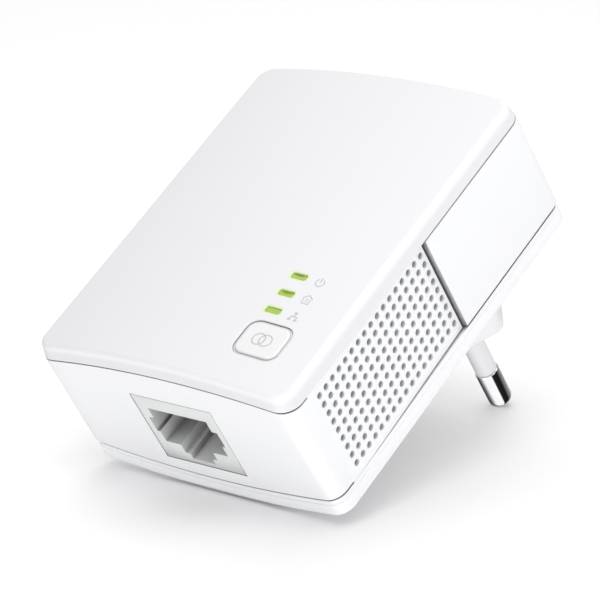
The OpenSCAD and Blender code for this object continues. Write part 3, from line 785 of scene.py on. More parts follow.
def grille_tree():
    """Build the tree. Returns it, and the identifier of each of its inputs."""
    tree = bpy.data.node_groups.new("perforated_plate", "GeometryNodeTree")
    tree.interface.new_socket("Geometry", in_out="OUTPUT", socket_type="NodeSocketGeometry")
    sockets = {}
    for name, kind in GRILLE_INPUTS.items():
        made = tree.interface.new_socket(name, in_out="INPUT", socket_type="NodeSocket" + kind)
        sockets[name] = made.identifier
    nodes, links = tree.nodes, tree.links
    given = nodes.new("NodeGroupInput")

    def add(kind, settings=None, **inputs):
        node = nodes.new(kind)
        for key, value in (settings or {}).items():
            setattr(node, key, value)
        for key, value in inputs.items():
            socket = node.inputs[int(key[2:]) if key.startswith("at") else key.replace("_", " ")]
            if hasattr(value, "is_output"):
                links.new(value, socket)
            else:
                socket.default_value = value
        return node

    def maths(operation, a, b):
        return add("ShaderNodeMath", {"operation": operation}, at0=a, at1=b).outputs[0]

    def source(name):
        return given.outputs[name]

    wide = maths("MULTIPLY", maths("SUBTRACT", source("Columns"), 1.0), source("Pitch"))
    high = maths("MULTIPLY", maths("SUBTRACT", source("Rows"), 1.0), source("Pitch"))
    grid = add("GeometryNodeMeshGrid", Size_X=wide, Size_Y=high, Vertices_X=source("Columns"),
               Vertices_Y=source("Rows"))
    stood = add("GeometryNodeTransform", Geometry=grid.outputs[0],
                Rotation=(math.pi / 2, 0, math.pi / 2))
    cells = add("GeometryNodeInstanceOnPoints", Points=stood.outputs[0],
                Instance=add("GeometryNodeObjectInfo", Object=source("Cell")).outputs["Geometry"])
    join = add("GeometryNodeJoinGeometry")
    links.new(cells.outputs[0], join.inputs[0])
    links.new(add("GeometryNodeObjectInfo", Object=source("Rim")).outputs["Geometry"], join.inputs[0])
    real = add("GeometryNodeRealizeInstances", Geometry=join.outputs[0])
    whole = add("GeometryNodeMergeByDistance", Geometry=real.outputs[0], Distance=2e-6)
    moved = add("GeometryNodeTransform", Geometry=whole.outputs[0], Translation=source("Middle"))
    position = add("GeometryNodeInputPosition").outputs[0]
    height = add("ShaderNodeSeparateXYZ", at0=position).outputs["Z"]
    lean = maths("MULTIPLY", maths("SUBTRACT", height, source("Foot")), source("Lean"))
    shift = add("ShaderNodeCombineXYZ", X=lean)
    leaned = add("GeometryNodeSetPosition", Geometry=moved.outputs[0], Offset=shift.outputs[0])
    finished = add("GeometryNodeSetMaterial", Geometry=leaned.outputs[0], Material=source("Finish"))
    links.new(finished.outputs[0], nodes.new("NodeGroupOutput").inputs[0])
    return tree, sockets


tree, sockets = grille_tree()
print(f"perforated plate: {len(tree.nodes)} nodes, {len(sockets)} inputs")

# %% Both grilles


def make_grille(name, side):
    """A plate on the right side, or its mirror image on the left."""
    holder = bpy.data.objects.new(name, bpy.data.meshes.new(name))
    bpy.context.scene.collection.objects.link(holder)
    modifier = holder.modifiers.new("plate", "NODES")
    modifier.node_group = tree
    values = {"Cell": cell, "Rim": rim, "Rows": ROWS, "Columns": COLUMNS, "Pitch": PITCH * MM,
              "Lean": -VENT_STEP / (grille_high.z - grille_low.z), "Foot": grille_low.z * MM,
              "Middle": (half_w * MM, mid_y * MM, mid_z * MM), "Finish": grille_paint.material}
    for key, value in values.items():
        modifier[sockets[key]] = value
    apply_modifiers(holder)
    mesh = bmesh.new()
    mesh.from_mesh(holder.data)
    if side < 0:
        bmesh.ops.scale(mesh, vec=(-1, 1, 1), verts=mesh.verts)
    bmesh.ops.recalc_face_normals(mesh, faces=mesh.faces)
    for face in mesh.faces:
        face.smooth = True
    mesh.to_mesh(holder.data)
    open_edges = sum(not e.is_manifold for e in mesh.edges)
    mesh.free()
    holder.data.set_sharp_from_angle(angle=math.radians(50))
    print(f"{name}: {open_edges} open edges")
    return holder


for side, node in ((1, "right_grille"), (-1, "left_grille")):
    stand(make_grille(node + "_plate", side), node)
for helper in (cell, rim):
    bpy.data.objects.remove(helper)

# %% [markdown]
# ## Rear cover
# The back shell starts with a narrow stepped lip at its seam, then runs back in a plain band to
# a rounded edge and a bowed back. The step is a thin second line around the whole body.

# %% Rear cover
REAR_R, REAR_EDGE = 2.7, 0.5
# The lip: its width, how far it is set in, and how deep the line behind it is.
LIP_W, LIP_IN, LIP_STEP = 0.9, 0.12, 0.02
# The plug block: its width and height, the length of its flat edges, how far the sharp tips
# would stand out of the rounded ones, and the two kinds of corner.
BLOCK_W, BLOCK_H, BLOCK_FLAT, BLOCK_TIP = 35.3, 13.7, 26.1, 0.55
FLAT_R, TIP_CORNER_R = 2.2, 2.0
# The gap round the block in the cover's opening.
BLOCK_FIT = 0.07


def block_corners(grow=0.0):
    """The hexagon's corners; grow moves every side outwards."""
    slope = math.hypot((BLOCK_W - BLOCK_FLAT) / 2, BLOCK_H / 2)
    tip = BLOCK_W / 2 + BLOCK_TIP + grow * slope / (BLOCK_H / 2)
    flat, high = BLOCK_FLAT / 2 + grow * 0.5, BLOCK_H / 2 + grow
    return [(-flat, -high), (flat, -high), (tip, 0), (flat, high), (-flat, high), (-tip, 0)]


def block_outline(grow=0.0):
    """The flat hexagon with round corners, grown on all sides for the opening that it fills."""
    radii = [FLAT_R, FLAT_R, TIP_CORNER_R] * 2
    return rounded_polygon(block_corners(grow), radii, 8, [18, 4, 4] * 2)


outline = body_outline(REAR_R)
skin = Skin()
rings = [skin.ring(inset(outline, WALL), shifted(rear_seam, REAR_GAP / 2))]
for back, depth in reversed(quarter(SOFT)):
    rings.append(skin.ring(inset(outline, LIP_IN + back), shifted(rear_seam, depth + REAR_GAP / 2)))
lip_profile = [(LIP_IN, 0), (LIP_IN + LIP_STEP, 0.03), (LIP_IN + LIP_STEP, 0.12),
               (0.08, 0.15), (0.02, 0.19), (0.0, 0.26)]
for back, along in lip_profile:
    rings.append(skin.ring(inset(outline, back), shifted(rear_seam, LIP_W + along)))
for back, depth in quarter(REAR_EDGE, 5):
    rings.append(skin.ring(inset(outline, back), shifted(back_face, -depth)))
rings.append(skin.ring(inset(outline, REAR_EDGE + 0.06), back_face))
inner = skin.ring(inset(outline, WALL), shifted(back_face, -REAR_WALL))
skin.bridge(rings)
skin.bridge([rings[0], inner])
hole = block_outline(BLOCK_FIT)
mouth = [skin.ring(inset(hole, -RIM - 0.05), back_face)]
for back, depth in quarter(RIM, 3)[::-1]:
    mouth.append(skin.ring(inset(hole, -back), shifted(back_face, -depth)))
mouth.append(skin.ring(inset(hole, 0), shifted(back_face, -REAR_WALL)))
skin.bridge(mouth)
skin.fill(rings[-1], [mouth[0]], back_face)
skin.fill(inner, [mouth[-1]], shifted(back_face, -REAR_WALL))
stand(skin.finish("rear_cover_shell", rear_paint), "rear_cover")

# %% [markdown]
# ## Plug block, sleeves and pins
# The block is a flat hexagon with blunt points that carries two round pins. Each pin is plated
# brass with an insulating sleeve over its first half. Turned parts are made by turning: a
# profile of (radius, depth) pairs is swept round the pin's axis.

# %% Plug block
PIN_X, PIN_R, SLEEVE_R, BLOCK_EDGE = 9.5, 2.0, 1.84, 0.9
# The gap round a sleeve in its seat, and the chamfer at the seat's mouth.
FIT, CHAMFER = 0.03, 0.12
sleeve_low, sleeve_high = cad("live_sleeve")
pin_low, pin_high = cad("live_pin")
block_low = cad("plug_block")[0]


def circle(x, radius, count=48):
    """Points round a pin's axis, or round any other one at this x."""
    angles = [2 * math.pi * i / count for i in range(count)]
    return [(x + radius * math.cos(a), radius * math.sin(a)) for a in angles]


skin = Skin()
outline = block_outline()
front_ring = skin.ring(inset(outline, 0), block_low.y)
rings = [front_ring]
for back, depth in quarter(BLOCK_EDGE, 6):
    rings.append(skin.ring(inset(outline, back), -depth))
rings.append(skin.ring(inset(outline, BLOCK_EDGE + 0.08), 0))
skin.bridge(rings)
seats = []
for x in (-PIN_X, PIN_X):
    seat = [skin.ring(circle(x, SLEEVE_R + FIT + CHAMFER), 0),
            skin.ring(circle(x, SLEEVE_R + FIT), -CHAMFER),
            skin.ring(circle(x, SLEEVE_R + FIT), sleeve_low.y)]
    skin.bridge(seat)
    skin.fill(seat[-1], depth=sleeve_low.y, pitch=None)
    seats.append(seat[0])
skin.fill(rings[-1], seats, 0.0)
skin.fill(front_ring, depth=block_low.y, pitch=None)
stand(skin.finish("plug_block_body", block_paint), "plug_block")

# %% [markdown]
# The pins are plated, so they are a metal with a low roughness: nearly everything that is seen
# in them is the room. Faint noise in the roughness and in the tone keeps them from looking like
# mirrors. Under its sleeve a pin is thinner than where it shows, and its tail runs on into the
# body to the power board.

# %% Pins and sleeves
# The radius of a pin's rounded tip, and of the part of it that the sleeve covers.
TIP_R, CORE_R = 1.25, 1.3
# The tail that runs back to the power board: its radius and where it ends.
TAIL_R, TAIL_END = 0.75, -8


def turned(name, x, profile, paint):
    """Sweep (radius, depth) pairs round the pin's axis; the ends are closed."""
    skin = Skin()
    rings = [skin.ring(circle(x, radius), y) for radius, y in profile]
    skin.bridge(rings)
    for ring, (_, y) in ((rings[0], profile[0]), (rings[-1], profile[-1])):
        skin.fill(ring, depth=y, pitch=None)
    return skin.finish(name, paint, 40)


plating = Paint("nickel_plating", (0.80, 0.80, 0.82), 0.07, 1.0)
fine = plating.noise(900, 3)
plating.feed("Roughness", plating.spread(fine, 0.04, 0.13))
plating.feed("Base Color", plating.blend(plating.noise(220), (0.82, 0.82, 0.84), (0.72, 0.72, 0.745)))
plating.bump(fine, 6e-7)

end, tip = sleeve_high.y, pin_high.y
metal = [(TAIL_R, pin_low.y), (TAIL_R, TAIL_END), (CORE_R, TAIL_END), (CORE_R, end - 0.02),
         (PIN_R - 0.12, end - 0.02), (PIN_R - 0.04, end + 0.03), (PIN_R, end + 0.14)]
metal += [(PIN_R - back, tip - depth) for back, depth in quarter(TIP_R, 7)]
metal.append((PIN_R - TIP_R - 0.15, tip))
tube = [(CORE_R, sleeve_low.y), (SLEEVE_R, sleeve_low.y), (SLEEVE_R, end - 0.2),
        (SLEEVE_R - 0.05, end - 0.08), (SLEEVE_R - 0.16, end - 0.03), (CORE_R, end - 0.03)]
for x, word in ((PIN_X, "live"), (-PIN_X, "neutral")):
    stand(turned(f"{word}_pin_metal", x, metal, plating), f"{word}_pin", slot="nickel_pin")
    skin = Skin()
    rings = [skin.ring(circle(x, radius), y) for radius, y in tube]
    skin.bridge(rings, closed=True)
    stand(skin.finish(f"{word}_pin_sleeve", sleeve_paint, 40), f"{word}_sleeve", slot="sleeve_plastic")

# %% [markdown]
# ## Pair button
# The cap stands level with the cover, with a soft crowned edge. A narrow ledge round it, set
# back a little, makes the shallow groove between the cap and the cover. Behind the wall the
# cap widens to a flange that keeps it in, and a stem reaches the switch.

# %% Pair button
# How soft the cap's edge is, and how far it stands out of the cover.
CAP_SOFT, CAP_RISE = 0.3, 0.08
# The groove round the cap: its width, its depth, and the gap outside the ledge.
RING, RING_DEPTH, LEDGE_GAP = 0.42, 0.38, 0.05
# How far the flange lies behind the crown of the face, its thickness, and the stem's radius.
FLANGE_BACK, FLANGE_T, STEM_R = 3.15, 0.7, 1.5
flange_front = front_crown + FLANGE_BACK
flange_back = flange_front + FLANGE_T
cap = window(button_x, button_z, BUTTON_W - 2 * RING, BUTTON_H - 2 * RING, BUTTON_R - RING, 8, 5)
flange = window(button_x, button_z, button_high.x - button_low.x, button_high.z - button_low.z,
                BUTTON_R, 8, 5)
cap_face = shifted(front_face, -CAP_RISE)
skin = Skin()
rings = [skin.ring(inset(cap, CAP_SOFT + 0.06), cap_face)]
for back, depth in quarter(CAP_SOFT, 4)[::-1]:
    rings.append(skin.ring(inset(cap, back), shifted(cap_face, depth)))
ledge = shifted(cap_face, RING_DEPTH)
rings += [skin.ring(inset(cap, 0), ledge),
          skin.ring(inset(cap, LEDGE_GAP - RING), ledge),
          skin.ring(inset(cap, LEDGE_GAP - RING), flange_front),
          skin.ring(inset(flange, 0), flange_front),
          skin.ring(inset(flange, 0), flange_back)]
skin.bridge(rings)
stem = [skin.ring([(button_x + u, button_z + v) for u, v in circle(0, STEM_R, 32)], y)
        for y in (flange_back, button_high.y)]
skin.bridge(stem)
skin.fill(rings[0], depth=cap_face, pitch=1.2)
skin.fill(rings[-1], [stem[0]], flange_back, pitch=None)
skin.fill(stem[1], depth=button_high.y, pitch=None)
stand(skin.finish("pair_button_cap", button_paint), "pair_button", body="button",
      slot="white_cover_plastic")

# %% [markdown]
# ## Status lamps
# Three windows of one green light pipe. The light comes from behind and below, and it is painted
# into the colour: each window is yellower low down and darker along its upper edge, and painted
# shade darkens the narrow gap round it. It glows a little by itself. The shade runs from 0 at the
# foot of a window to 1 at its top, and is 0 between the windows.

# %% The lamps' finish
LAMP_EMISSION = 0.15
lamp_paint = Paint("lamp_green", (0.33, 0.58, 0.10), 0.28)
x, _, z = lamp_paint.axes()
shade = None
for centre in light_zs:
    local = (z - centre) / LIGHT_H + 0.5
    near = ((z - centre).abs()) < (LIGHT_PITCH / 2)
    part = local * near
    shade = part if shade is None else shade + part
# Painted light and shade: yellower low down, darker along the upper edge.
edge = lamp_paint.smooth(shade, 0.72, 1.0)
low_light = lamp_paint.blend(lamp_paint.smooth(shade, 0.0, 0.8),
                             (0.42, 0.56, 0.10), (0.32, 0.50, 0.085))
tone = lamp_paint.blend(edge, low_light, (0.22, 0.36, 0.05))
# Painted shade: a darker green in the narrow gap round each lens.
tone = lamp_paint.blend(lamp_paint.openness(0.5, 0.35, 0.85), (0.14, 0.22, 0.03), tone)
lamp_paint.feed("Base Color", tone)
lamp_paint.feed("Emission Color", tone)
lamp_paint.shader.inputs["Emission Strength"].default_value = LAMP_EMISSION
print(f"lamp finish: {len(lamp_paint.tree.nodes)} nodes, emission {LAMP_EMISSION}")

# %% Status lamps
# How far a lens lies behind the face, the gap round it, and its soft edge.
LAMP_SINK, LAMP_GAP, LENS_SOFT = 0.14, 0.04, 0.1
LENS_R = WINDOW_R - LAMP_GAP
skin = Skin()
for centre in light_zs:
    lens = window(light_x, centre, LIGHT_W - 2 * LAMP_GAP, LIGHT_H - 2 * LAMP_GAP, LENS_R, 5, 3)
    face = shifted(front_face, LAMP_SINK)
    rings = [skin.ring(inset(lens, LENS_SOFT + 0.06), face), skin.ring(inset(lens, LENS_SOFT), face)]
    for back, depth in quarter(LENS_SOFT, 3)[::-1]:
        rings.append(skin.ring(inset(lens, back), shifted(face, depth)))
    rings.append(skin.ring(inset(lens, 0), light_high.y))
    skin.bridge(rings)
    skin.fill(rings[0], depth=face, pitch=None)
    skin.fill(rings[-1], depth=light_high.y, pitch=None)
stand(skin.finish("status_lamps", lamp_paint), "light_pipe", slot="green_light_pipe")

# %% [markdown]
# ## Printed symbols
# Small generic symbols beside the lamps, and a pair of rings on the button. Ink is a film, so
# each stroke is a flat ribbon, a few hundredths of a millimetre thick, laid on the bowed face.

# %% Ribbons
ink = Paint("grey_ink", (0.53, 0.56, 0.58), 0.55)
ink.feed("Base Color", ink.blend(ink.noise(1200, 2), (0.54, 0.565, 0.585), (0.60, 0.62, 0.635)))
INK_T = 0.02


def ribbon(skin, path, width, face, closed=False):
    """A flat stroke of the given width along a path, laid on a face."""
    path = [Vector(p) for p in path]
    count = len(path)
    sides = []
    for i, here in enumerate(path):
        before = path[i - 1] if closed or i else here
        after = path[(i + 1) % count] if closed or i < count - 1 else here
        one = (here - before).normalized() if here != before else (after - here).normalized()
        two = (after - here).normalized() if after != here else one
        across = Vector((-one.y - two.y, one.x + two.x))
        across = across.normalized() * (width / 2 / max(0.5, across.length / 2))
        sides.append((here + across, here - across))
    rows = []
    for left, right_side in sides:
        rows.append([skin.ring([p], shifted(face, by))[0]
                     for p, by in ((left, -INK_T), (right_side, -INK_T), (right_side, 0.01), (left, 0.01))])
    links = list(zip(rows, rows[1:])) + ([(rows[-1], rows[0])] if closed else [])
    for first_row, second_row in links:
        for i in range(4):
            j = (i + 1) % 4
            skin.mesh.faces.new((first_row[i], first_row[j], second_row[j], second_row[i]))
    if not closed:
        skin.mesh.faces.new(rows[0])
        skin.mesh.faces.new(rows[-1])


def arc_path(cx, cz, radius, start, end, count=28):
    """Points on an arc; the angles are in degrees from straight up, clockwise."""
    angles = [math.radians(start + (end - start) * i / count) for i in range(count + 1)]
    return [(cx + radius * math.sin(a), cz + radius * math.cos(a)) for a in angles]


# %% [markdown]
# The symbols are the usual ones for power, a home network and a wired network, drawn in
# millimetres round their own middle. The button's two rings that overlap stand for pairing.

# %% The symbols
SYMBOL_X, SYMBOL_DROP = 17.6, 0.2
power_strokes = [arc_path(0, 0, 0.72, 35, 325), [(0, 0.95), (0, 0.1)]]
home_strokes = [[(-0.88, 0.22), (0, 0.86), (0.88, 0.22)],
                [(-0.6, 0.12), (-0.6, -0.78), (0.6, -0.78), (0.6, 0.12)],
                [(0, -0.45), (0, 0.3)]]
network_wires = [[(-0.2, 0.6), (0.2, 0.6)],
                 [(0, 0.55), (0, 0.0)],
                 [(-0.55, -0.45), (-0.55, 0), (0.55, 0), (0.55, -0.45)]]
network_blocks = [[(-0.83, -0.6), (-0.27, -0.6)],
                  [(0.27, -0.6), (0.83, -0.6)],
                  [(-0.28, 0.72), (0.28, 0.72)]]
power_z, home_z, network_z = (z - SYMBOL_DROP for z in reversed(light_zs))
skin = Skin()
for strokes, middle_z, width in ((power_strokes, power_z, 0.2), (home_strokes, home_z, 0.18),
                                 (network_wires, network_z, 0.2), (network_blocks, network_z, 0.36)):
    for path in strokes:
        ribbon(skin, [(SYMBOL_X + u, middle_z + v) for u, v in path], width, front_face)
stand(skin.finish("lamp_symbols", ink), slot="label_paper")

PAIR_R, PAIR_APART, PAIR_STROKE = 1.05, 0.62, 0.22
skin = Skin()
for side in (-1, 1):
    loop = arc_path(button_x + side * PAIR_APART, button_z, PAIR_R, 0, 360, 40)[:-1]
    ribbon(skin, loop, PAIR_STROKE, cap_face, closed=True)
stand(skin.finish("button_symbol", ink), body="button", slot="label_paper")

# %% [markdown]
# ## Network socket
# A grey-white block flush with the end of the body. Its mouth is stepped for the plug's latch.
# The mouth is a deep pocket of the same pale plastic, which would look far too light in so
# bright a room, so this finish has the widest reach of the gap shading: a point whose view is
# closed off within 9 mm is nearly black.

# %% Network socket
# How far the mouth starts from the front of the block and how deep it is, and its steps: half
# the width of each, and how far from the mouth's front edge it ends.
MOUTH_FRONT, MOUTH_DEPTH = 2.6, 13.5
STEPS = [(6.0, 2.2), (7.05, 5.3), (6.4, 7.5), (3.3, 9.3), (2.3, 10.4)]
mouth_y = jack_low.y + MOUTH_FRONT
mouth_right, start = [], 0.0
for half, end in STEPS:
    mouth_right += [(half, mouth_y + start), (half, mouth_y + end)]
    start = end
mouth_path = mouth_right + [(-u, v) for u, v in reversed(mouth_right)]
skin = Skin(lambda u, v, d: (u, v, d))
corners = [(jack_low.x, jack_low.y), (jack_high.x, jack_low.y), (jack_high.x, jack_high.y),
           (jack_low.x, jack_high.y)]
face_ring, back_ring = skin.ring(corners, bottom), skin.ring(corners, jack_high.z)
lip, deep = skin.ring(mouth_path, bottom), skin.ring(mouth_path, bottom + MOUTH_DEPTH)
skin.bridge([face_ring, back_ring])
skin.bridge([lip, deep])
skin.fill(face_ring, [lip], bottom, pitch=None)
skin.fill(back_ring, depth=jack_high.z, pitch=None)
skin.fill(deep, depth=bottom + MOUTH_DEPTH, pitch=None)
stand(skin.finish("network_socket_body", socket_paint, bevel=0.07), "rj45_jack",
      slot="jack_plastic")

# %% [markdown]
# ## Finishes of the inner parts
# The boards and their components keep their CAD shapes and get procedural finishes: solder
# mask with copper tracks under it, moulded epoxy, tinned and brushed metal, lacquered coils.
# Four functions make them, one for each way in which such a surface varies.

# %% Kinds of inner finish


def speckled(name, colour, roughness, other, scale, metallic=0.0, depth=4e-6):
    """A finish whose colour, sheen and surface all vary with one fine grain."""
    paint = Paint(name, colour, roughness, metallic)
    grain = paint.noise(scale, 4, 0.6)
    paint.feed("Base Color", paint.blend(grain, colour, other))
    paint.feed("Roughness", paint.spread(grain, max(0.03, roughness - 0.08), roughness + 0.1))
    paint.bump(grain, depth)
    return paint


def board_paint(name, mask, track):
    """Solder mask over copper: straight tracks on a fine grid, broken up by noise."""
    paint = Paint(name, mask, 0.35, Coat_Weight=0.4)
    x, _, z = paint.axes()
    lanes = [paint.node("ShaderNodeMath", {"operation": "PINGPONG"}, {0: axis, 1: 0.5})
             for axis in (x, z)]
    lane = (lanes[0] < 0.12).max(lanes[1] < 0.1)
    there = paint.noise(180, 1) > 0.52
    tracks = lane * there
    paint.feed("Base Color", paint.blend(tracks, mask, track))
    paint.bump(tracks, 3e-5)
    return paint


def wound(name, colour, pitch):
    """Lacquered wire in turns along the depth axis, with painted shade in the grooves between the turns."""
    paint = Paint(name, colour, 0.25, 0.9)
    _, y, _ = paint.axes()
    turn = paint.node("ShaderNodeMath", {"operation": "PINGPONG"}, {0: y, 1: pitch})
    turn = turn / pitch
    # Painted shade: darker where the bump sinks between two turns.
    paint.feed("Base Color", paint.blend(turn, [c * 0.55 for c in colour], colour))
    paint.bump(turn, 1e-4)
    return paint


def brushed(name, colour, roughness):
    """Bare metal with fine lines, from noise that is stretched along two axes."""
    paint = Paint(name, colour, roughness, 1.0)
    stretched = paint.node("ShaderNodeMapping", inputs={0: paint.place(), "Scale": (60, 60, 2400)})
    lines = paint.node("ShaderNodeTexNoise", inputs={"Vector": stretched, "Scale": 1.0, "Detail": 3.0})
    paint.feed("Roughness", paint.spread(lines, roughness - 0.1, roughness + 0.15))
    paint.feed("Base Color", paint.blend(lines, colour, [c * 0.82 for c in colour]))
    paint.bump(lines, 2e-6)
    return paint


# %% [markdown]
# Each finish below belongs to a material that such a piece is really made of. The table then
# gives every CAD node that stays visible its finish: the node's mesh isn't touched, only its
# material changes.

# %% The finishes and what they go on
green = board_paint("board_green", (0.02, 0.16, 0.07), (0.05, 0.28, 0.12))
epoxy = speckled("chip_epoxy", (0.035, 0.035, 0.04), 0.5, (0.06, 0.06, 0.065), 900)
black_plastic = speckled("black_plastic", (0.03, 0.03, 0.032), 0.42, (0.05, 0.05, 0.05), 700)
tin = speckled("tinned_metal", (0.72, 0.72, 0.73), 0.28, (0.58, 0.58, 0.6), 500, 1.0, 2e-6)
aluminium = brushed("bare_aluminium", (0.80, 0.81, 0.82), 0.32)
gold = speckled("gold_contact", (0.83, 0.62, 0.24), 0.2, (0.74, 0.52, 0.18), 900, 1.0, 1e-6)
copper = wound("copper_coil", (0.72, 0.36, 0.16), 0.16)
ferrite = speckled("ferrite", (0.07, 0.068, 0.07), 0.6, (0.13, 0.125, 0.12), 1400, 0.2)
film = speckled("film_capacitor", (0.62, 0.36, 0.05), 0.4, (0.56, 0.30, 0.04), 300)
fuse_body = speckled("fuse_plastic", (0.16, 0.07, 0.04), 0.4, (0.11, 0.05, 0.03), 500)
varistor = speckled("varistor_coat", (0.05, 0.16, 0.42), 0.35, (0.04, 0.12, 0.34), 350)
can_sleeve = speckled("capacitor_sleeve", (0.05, 0.06, 0.12), 0.25, (0.03, 0.04, 0.08), 200)
bobbin = speckled("bobbin_plastic", (0.72, 0.66, 0.50), 0.45, (0.66, 0.60, 0.45), 500)
sheet = speckled("fish_paper", (0.78, 0.76, 0.68), 0.5, (0.70, 0.68, 0.60), 600)
ceramic = speckled("lamp_ceramic", (0.82, 0.80, 0.62), 0.35, (0.90, 0.88, 0.74), 1500)
paper = speckled("label_paper", (0.80, 0.80, 0.80), 0.5, (0.76, 0.76, 0.765), 1800, depth=1.5e-6)
screw_metal = speckled("screw_steel", (0.62, 0.62, 0.64), 0.3, (0.50, 0.50, 0.52), 600, 1.0, 2e-6)

FINISHES = {
    green: ["main_board", "power_board"],
    epoxy: ["network_transformer", "main_chip", "memory_chip", "flash_chip", "port_chip", "bridge_rectifier",
            "power_controller", "optocoupler", "output_diode"],
    black_plastic: ["switch_body", "switch_plunger", "link_socket"],
    tin: ["clock_crystal"],
    aluminium: ["heat_spreader"],
    gold: ["rj45_contacts", "link_header"],
    copper: ["mains_choke", "transformer_winding"],
    ferrite: ["transformer_core", "output_inductor"],
    film: ["mains_filter_capacitor", "line_coupling_transformer", "line_coupling_capacitors"],
    fuse_body: ["fuse"],
    varistor: ["surge_varistor"],
    can_sleeve: ["bulk_capacitors", "output_capacitors"],
    bobbin: ["transformer_bobbin"],
    sheet: ["insulating_sheet"],
    ceramic: ["light_chips"],
    paper: ["rating_label"],
    screw_metal: ["main_board_screws", "power_board_screws"],
}
for paint, names in FINISHES.items():
    for name in names:
        node = frame["nodes"][name]
        node.data.materials.clear()
        node.data.materials.append(paint.material)
print(f"{len(FINISHES)} finishes on {sum(map(len, FINISHES.values()))} CAD nodes")

# %% [markdown]
# ## Floor
# The floor touches the bottom rear edge and the pins' round tips, which gives its tilt: the
# slope from the edge to the middle of a tip, less the angle that the tip's radius takes up. It
# shows only from above, so that the back of the object can be looked at too: a Mix Shader turns
# its back faces transparent.

# %% Floor
FLOOR_HALF = 1500
corner = Vector((0, back_crown, bottom))
tip_centre = Vector((0, pin_high.y - TIP_R, -(PIN_R - TIP_R)))
reach = tip_centre - corner
lean = math.atan2(reach.z, reach.y) - math.asin(TIP_R / reach.length)
floor_along = Vector((0, math.cos(lean), math.sin(lean)))
floor_up = Vector((0, -math.sin(lean), math.cos(lean)))
floor_mesh = bmesh.new()
for u, v in ((-1, -1), (1, -1), (1, 1), (-1, 1)):
    floor_mesh.verts.new(corner + Vector((u, 0, 0)) * FLOOR_HALF + floor_along * v * FLOOR_HALF)
floor_mesh.faces.new(floor_mesh.verts)
floor_mesh.normal_update()
if next(iter(floor_mesh.faces)).normal.dot(floor_up) < 0:
    bmesh.ops.reverse_faces(floor_mesh, faces=floor_mesh.faces)
floor_paint = Paint("pale_floor", (0.95, 0.95, 0.95), 1.0)
cloudy = floor_paint.noise(6)
floor_paint.feed("Base Color", floor_paint.blend(cloudy, (0.955, 0.955, 0.955), (0.95, 0.95, 0.95)))
floor = finish_mesh(floor_mesh, "floor", floor_paint)
floor.visible_glossy = False
behind = floor_paint.node("ShaderNodeNewGeometry", output="Backfacing")
hidden = floor_paint.node("ShaderNodeBsdfTransparent")
shown = Value(floor_paint, floor_paint.shader.outputs[0])
one_sided = floor_paint.node("ShaderNodeMixShader", inputs={0: behind, 1: shown, 2: hidden})
floor_paint.tree.links.new(one_sided.socket, floor_paint.tree.nodes["Material Output"].inputs[0])
print(f"floor tilted by {math.degrees(lean):.1f} degrees")

# %% [markdown]
# ## World
# The room is an even, pale grey that lights everything a little, and white where the camera
# sees it. The plated pins need something to mirror, so rays that are reflected see a ramp
# instead: a dark floor, a bright wall, a dark corner and a dim ceiling. The ramp runs once
# round the depth axis, along which the pins lie.

# %% World
SKY = 0.63
STUDIO = [(0.0, 0.05), (0.067, 0.08), (0.13, 0.25), (0.225, 1.2), (0.42, 1.25), (0.44, 0.02),
          (0.585, 0.01), (0.65, 0.18), (0.734, 0.36), (0.844, 0.60), (0.90, 0.65), (0.985, 0.12),
          (1.0, 0.05)]
world = bpy.data.worlds.new("studio")
bpy.context.scene.world = world
world.use_nodes = True
bpy.context.scene.view_settings.view_transform = "Standard"


class Sky(Paint):
    """The world's node tree, written in the same way as a material's."""

    def __init__(self, world):
        self.tree = world.node_tree


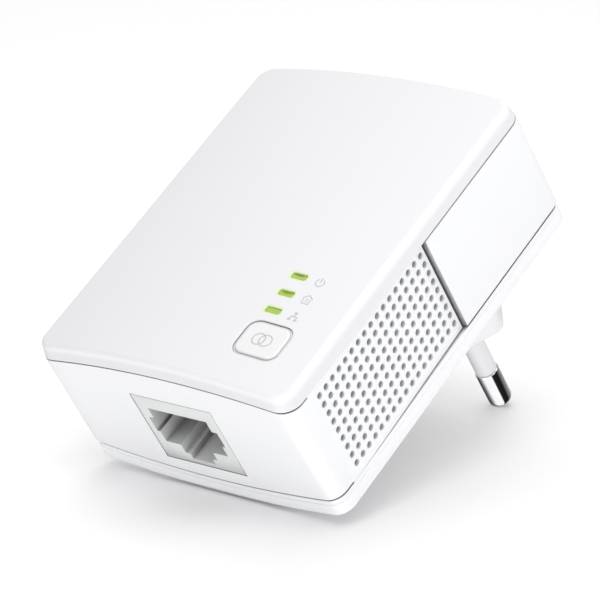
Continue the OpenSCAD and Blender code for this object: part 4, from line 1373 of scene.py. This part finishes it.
sky = Sky(world)
ray = sky.node("ShaderNodeLightPath")
seen = Value(sky, ray.socket.node.outputs["Is Camera Ray"])
mirrored = Value(sky, ray.socket.node.outputs["Is Glossy Ray"])
split = sky.node("ShaderNodeSeparateXYZ", inputs={0: sky.node("ShaderNodeTexCoord", output="Generated")})
across, along = (Value(sky, split.socket.node.outputs[i]) for i in (0, 2))
turn = sky.node("ShaderNodeMath", {"operation": "ARCTAN2"}, {0: along, 1: across}) / math.pi
ramp = sky.node("ShaderNodeValToRGB", {"stops": STUDIO}, {0: turn * 0.5 + 0.5})
unseen = sky.blend(mirrored, (SKY, SKY, SKY), ramp)
colour = sky.blend(seen, unseen, (1.0, 1.0, 1.0))
sky.tree.links.new(colour.socket, world.node_tree.nodes["Background"].inputs[0])
print(f"room of {SKY}, with {len(STUDIO)} stops for what the metal mirrors")

# %% [markdown]
# ## Lights
# Large square area lamps make the soft studio light. Light linking lets each one light either
# the object or the floor, so that the object's shading and the floor's shadow can be set one
# without the other, and lets only the object cast shadows, so that a lamp may stand under the
# floor. The rear lamp is kept out of the pins, where it would show as a hard streak.

# %% Lights
lit_object = bpy.data.collections.new("lit_object")
lit_floor = bpy.data.collections.new("lit_floor")
for thing in bpy.context.scene.objects:
    if thing.type == "MESH":
        group = lit_floor if thing is floor else lit_object
        group.objects.link(thing)


def soft_lamp(name, direction, distance, size, lit, power):
    """A square area lamp, with its distance and size in metres and its power in watts."""
    lamp = bpy.data.objects.new(name, bpy.data.lights.new(name, "AREA"))
    bpy.context.scene.collection.objects.link(lamp)
    lamp.data.size, lamp.data.energy = size, power
    direction = direction.normalized()
    lamp.location = TARGET * MM + direction * distance
    lamp.rotation_mode = "QUATERNION"
    lamp.rotation_quaternion = direction.to_track_quat("Z", "Y")
    lamp.light_linking.receiver_collection = lit
    lamp.light_linking.blocker_collection = lit_object
    print(f"lamp {name}: {power} W")
    return lamp


key_side = to_camera * 0.8 + right * 0.6 + floor_up * 0.2
soft_lamp("key", key_side, 0.8, 0.5, lit_object, 1.7)
soft_lamp("low", Vector((0.1, 0, -1)), 0.8, 0.5, lit_object, 1.6)
soft_lamp("over", Vector((0.3, -1, 0.8)), 0.9, 0.5, lit_object, 3.4)
rear_lamp = soft_lamp("rear", Vector((0.4, 1, 0.2)), 0.8, 0.6, lit_object, 0.8)
rear_lamp.visible_glossy = False
soft_lamp("floor_over", floor_up, 0.7, 0.6, lit_floor, 1.4)
soft_lamp("floor_back", floor_up - to_camera * 0.7, 0.8, 0.6, lit_floor, 1.2)
soft_lamp("floor_front", floor_up + to_camera * 0.9, 0.8, 0.6, lit_floor, 1.5)
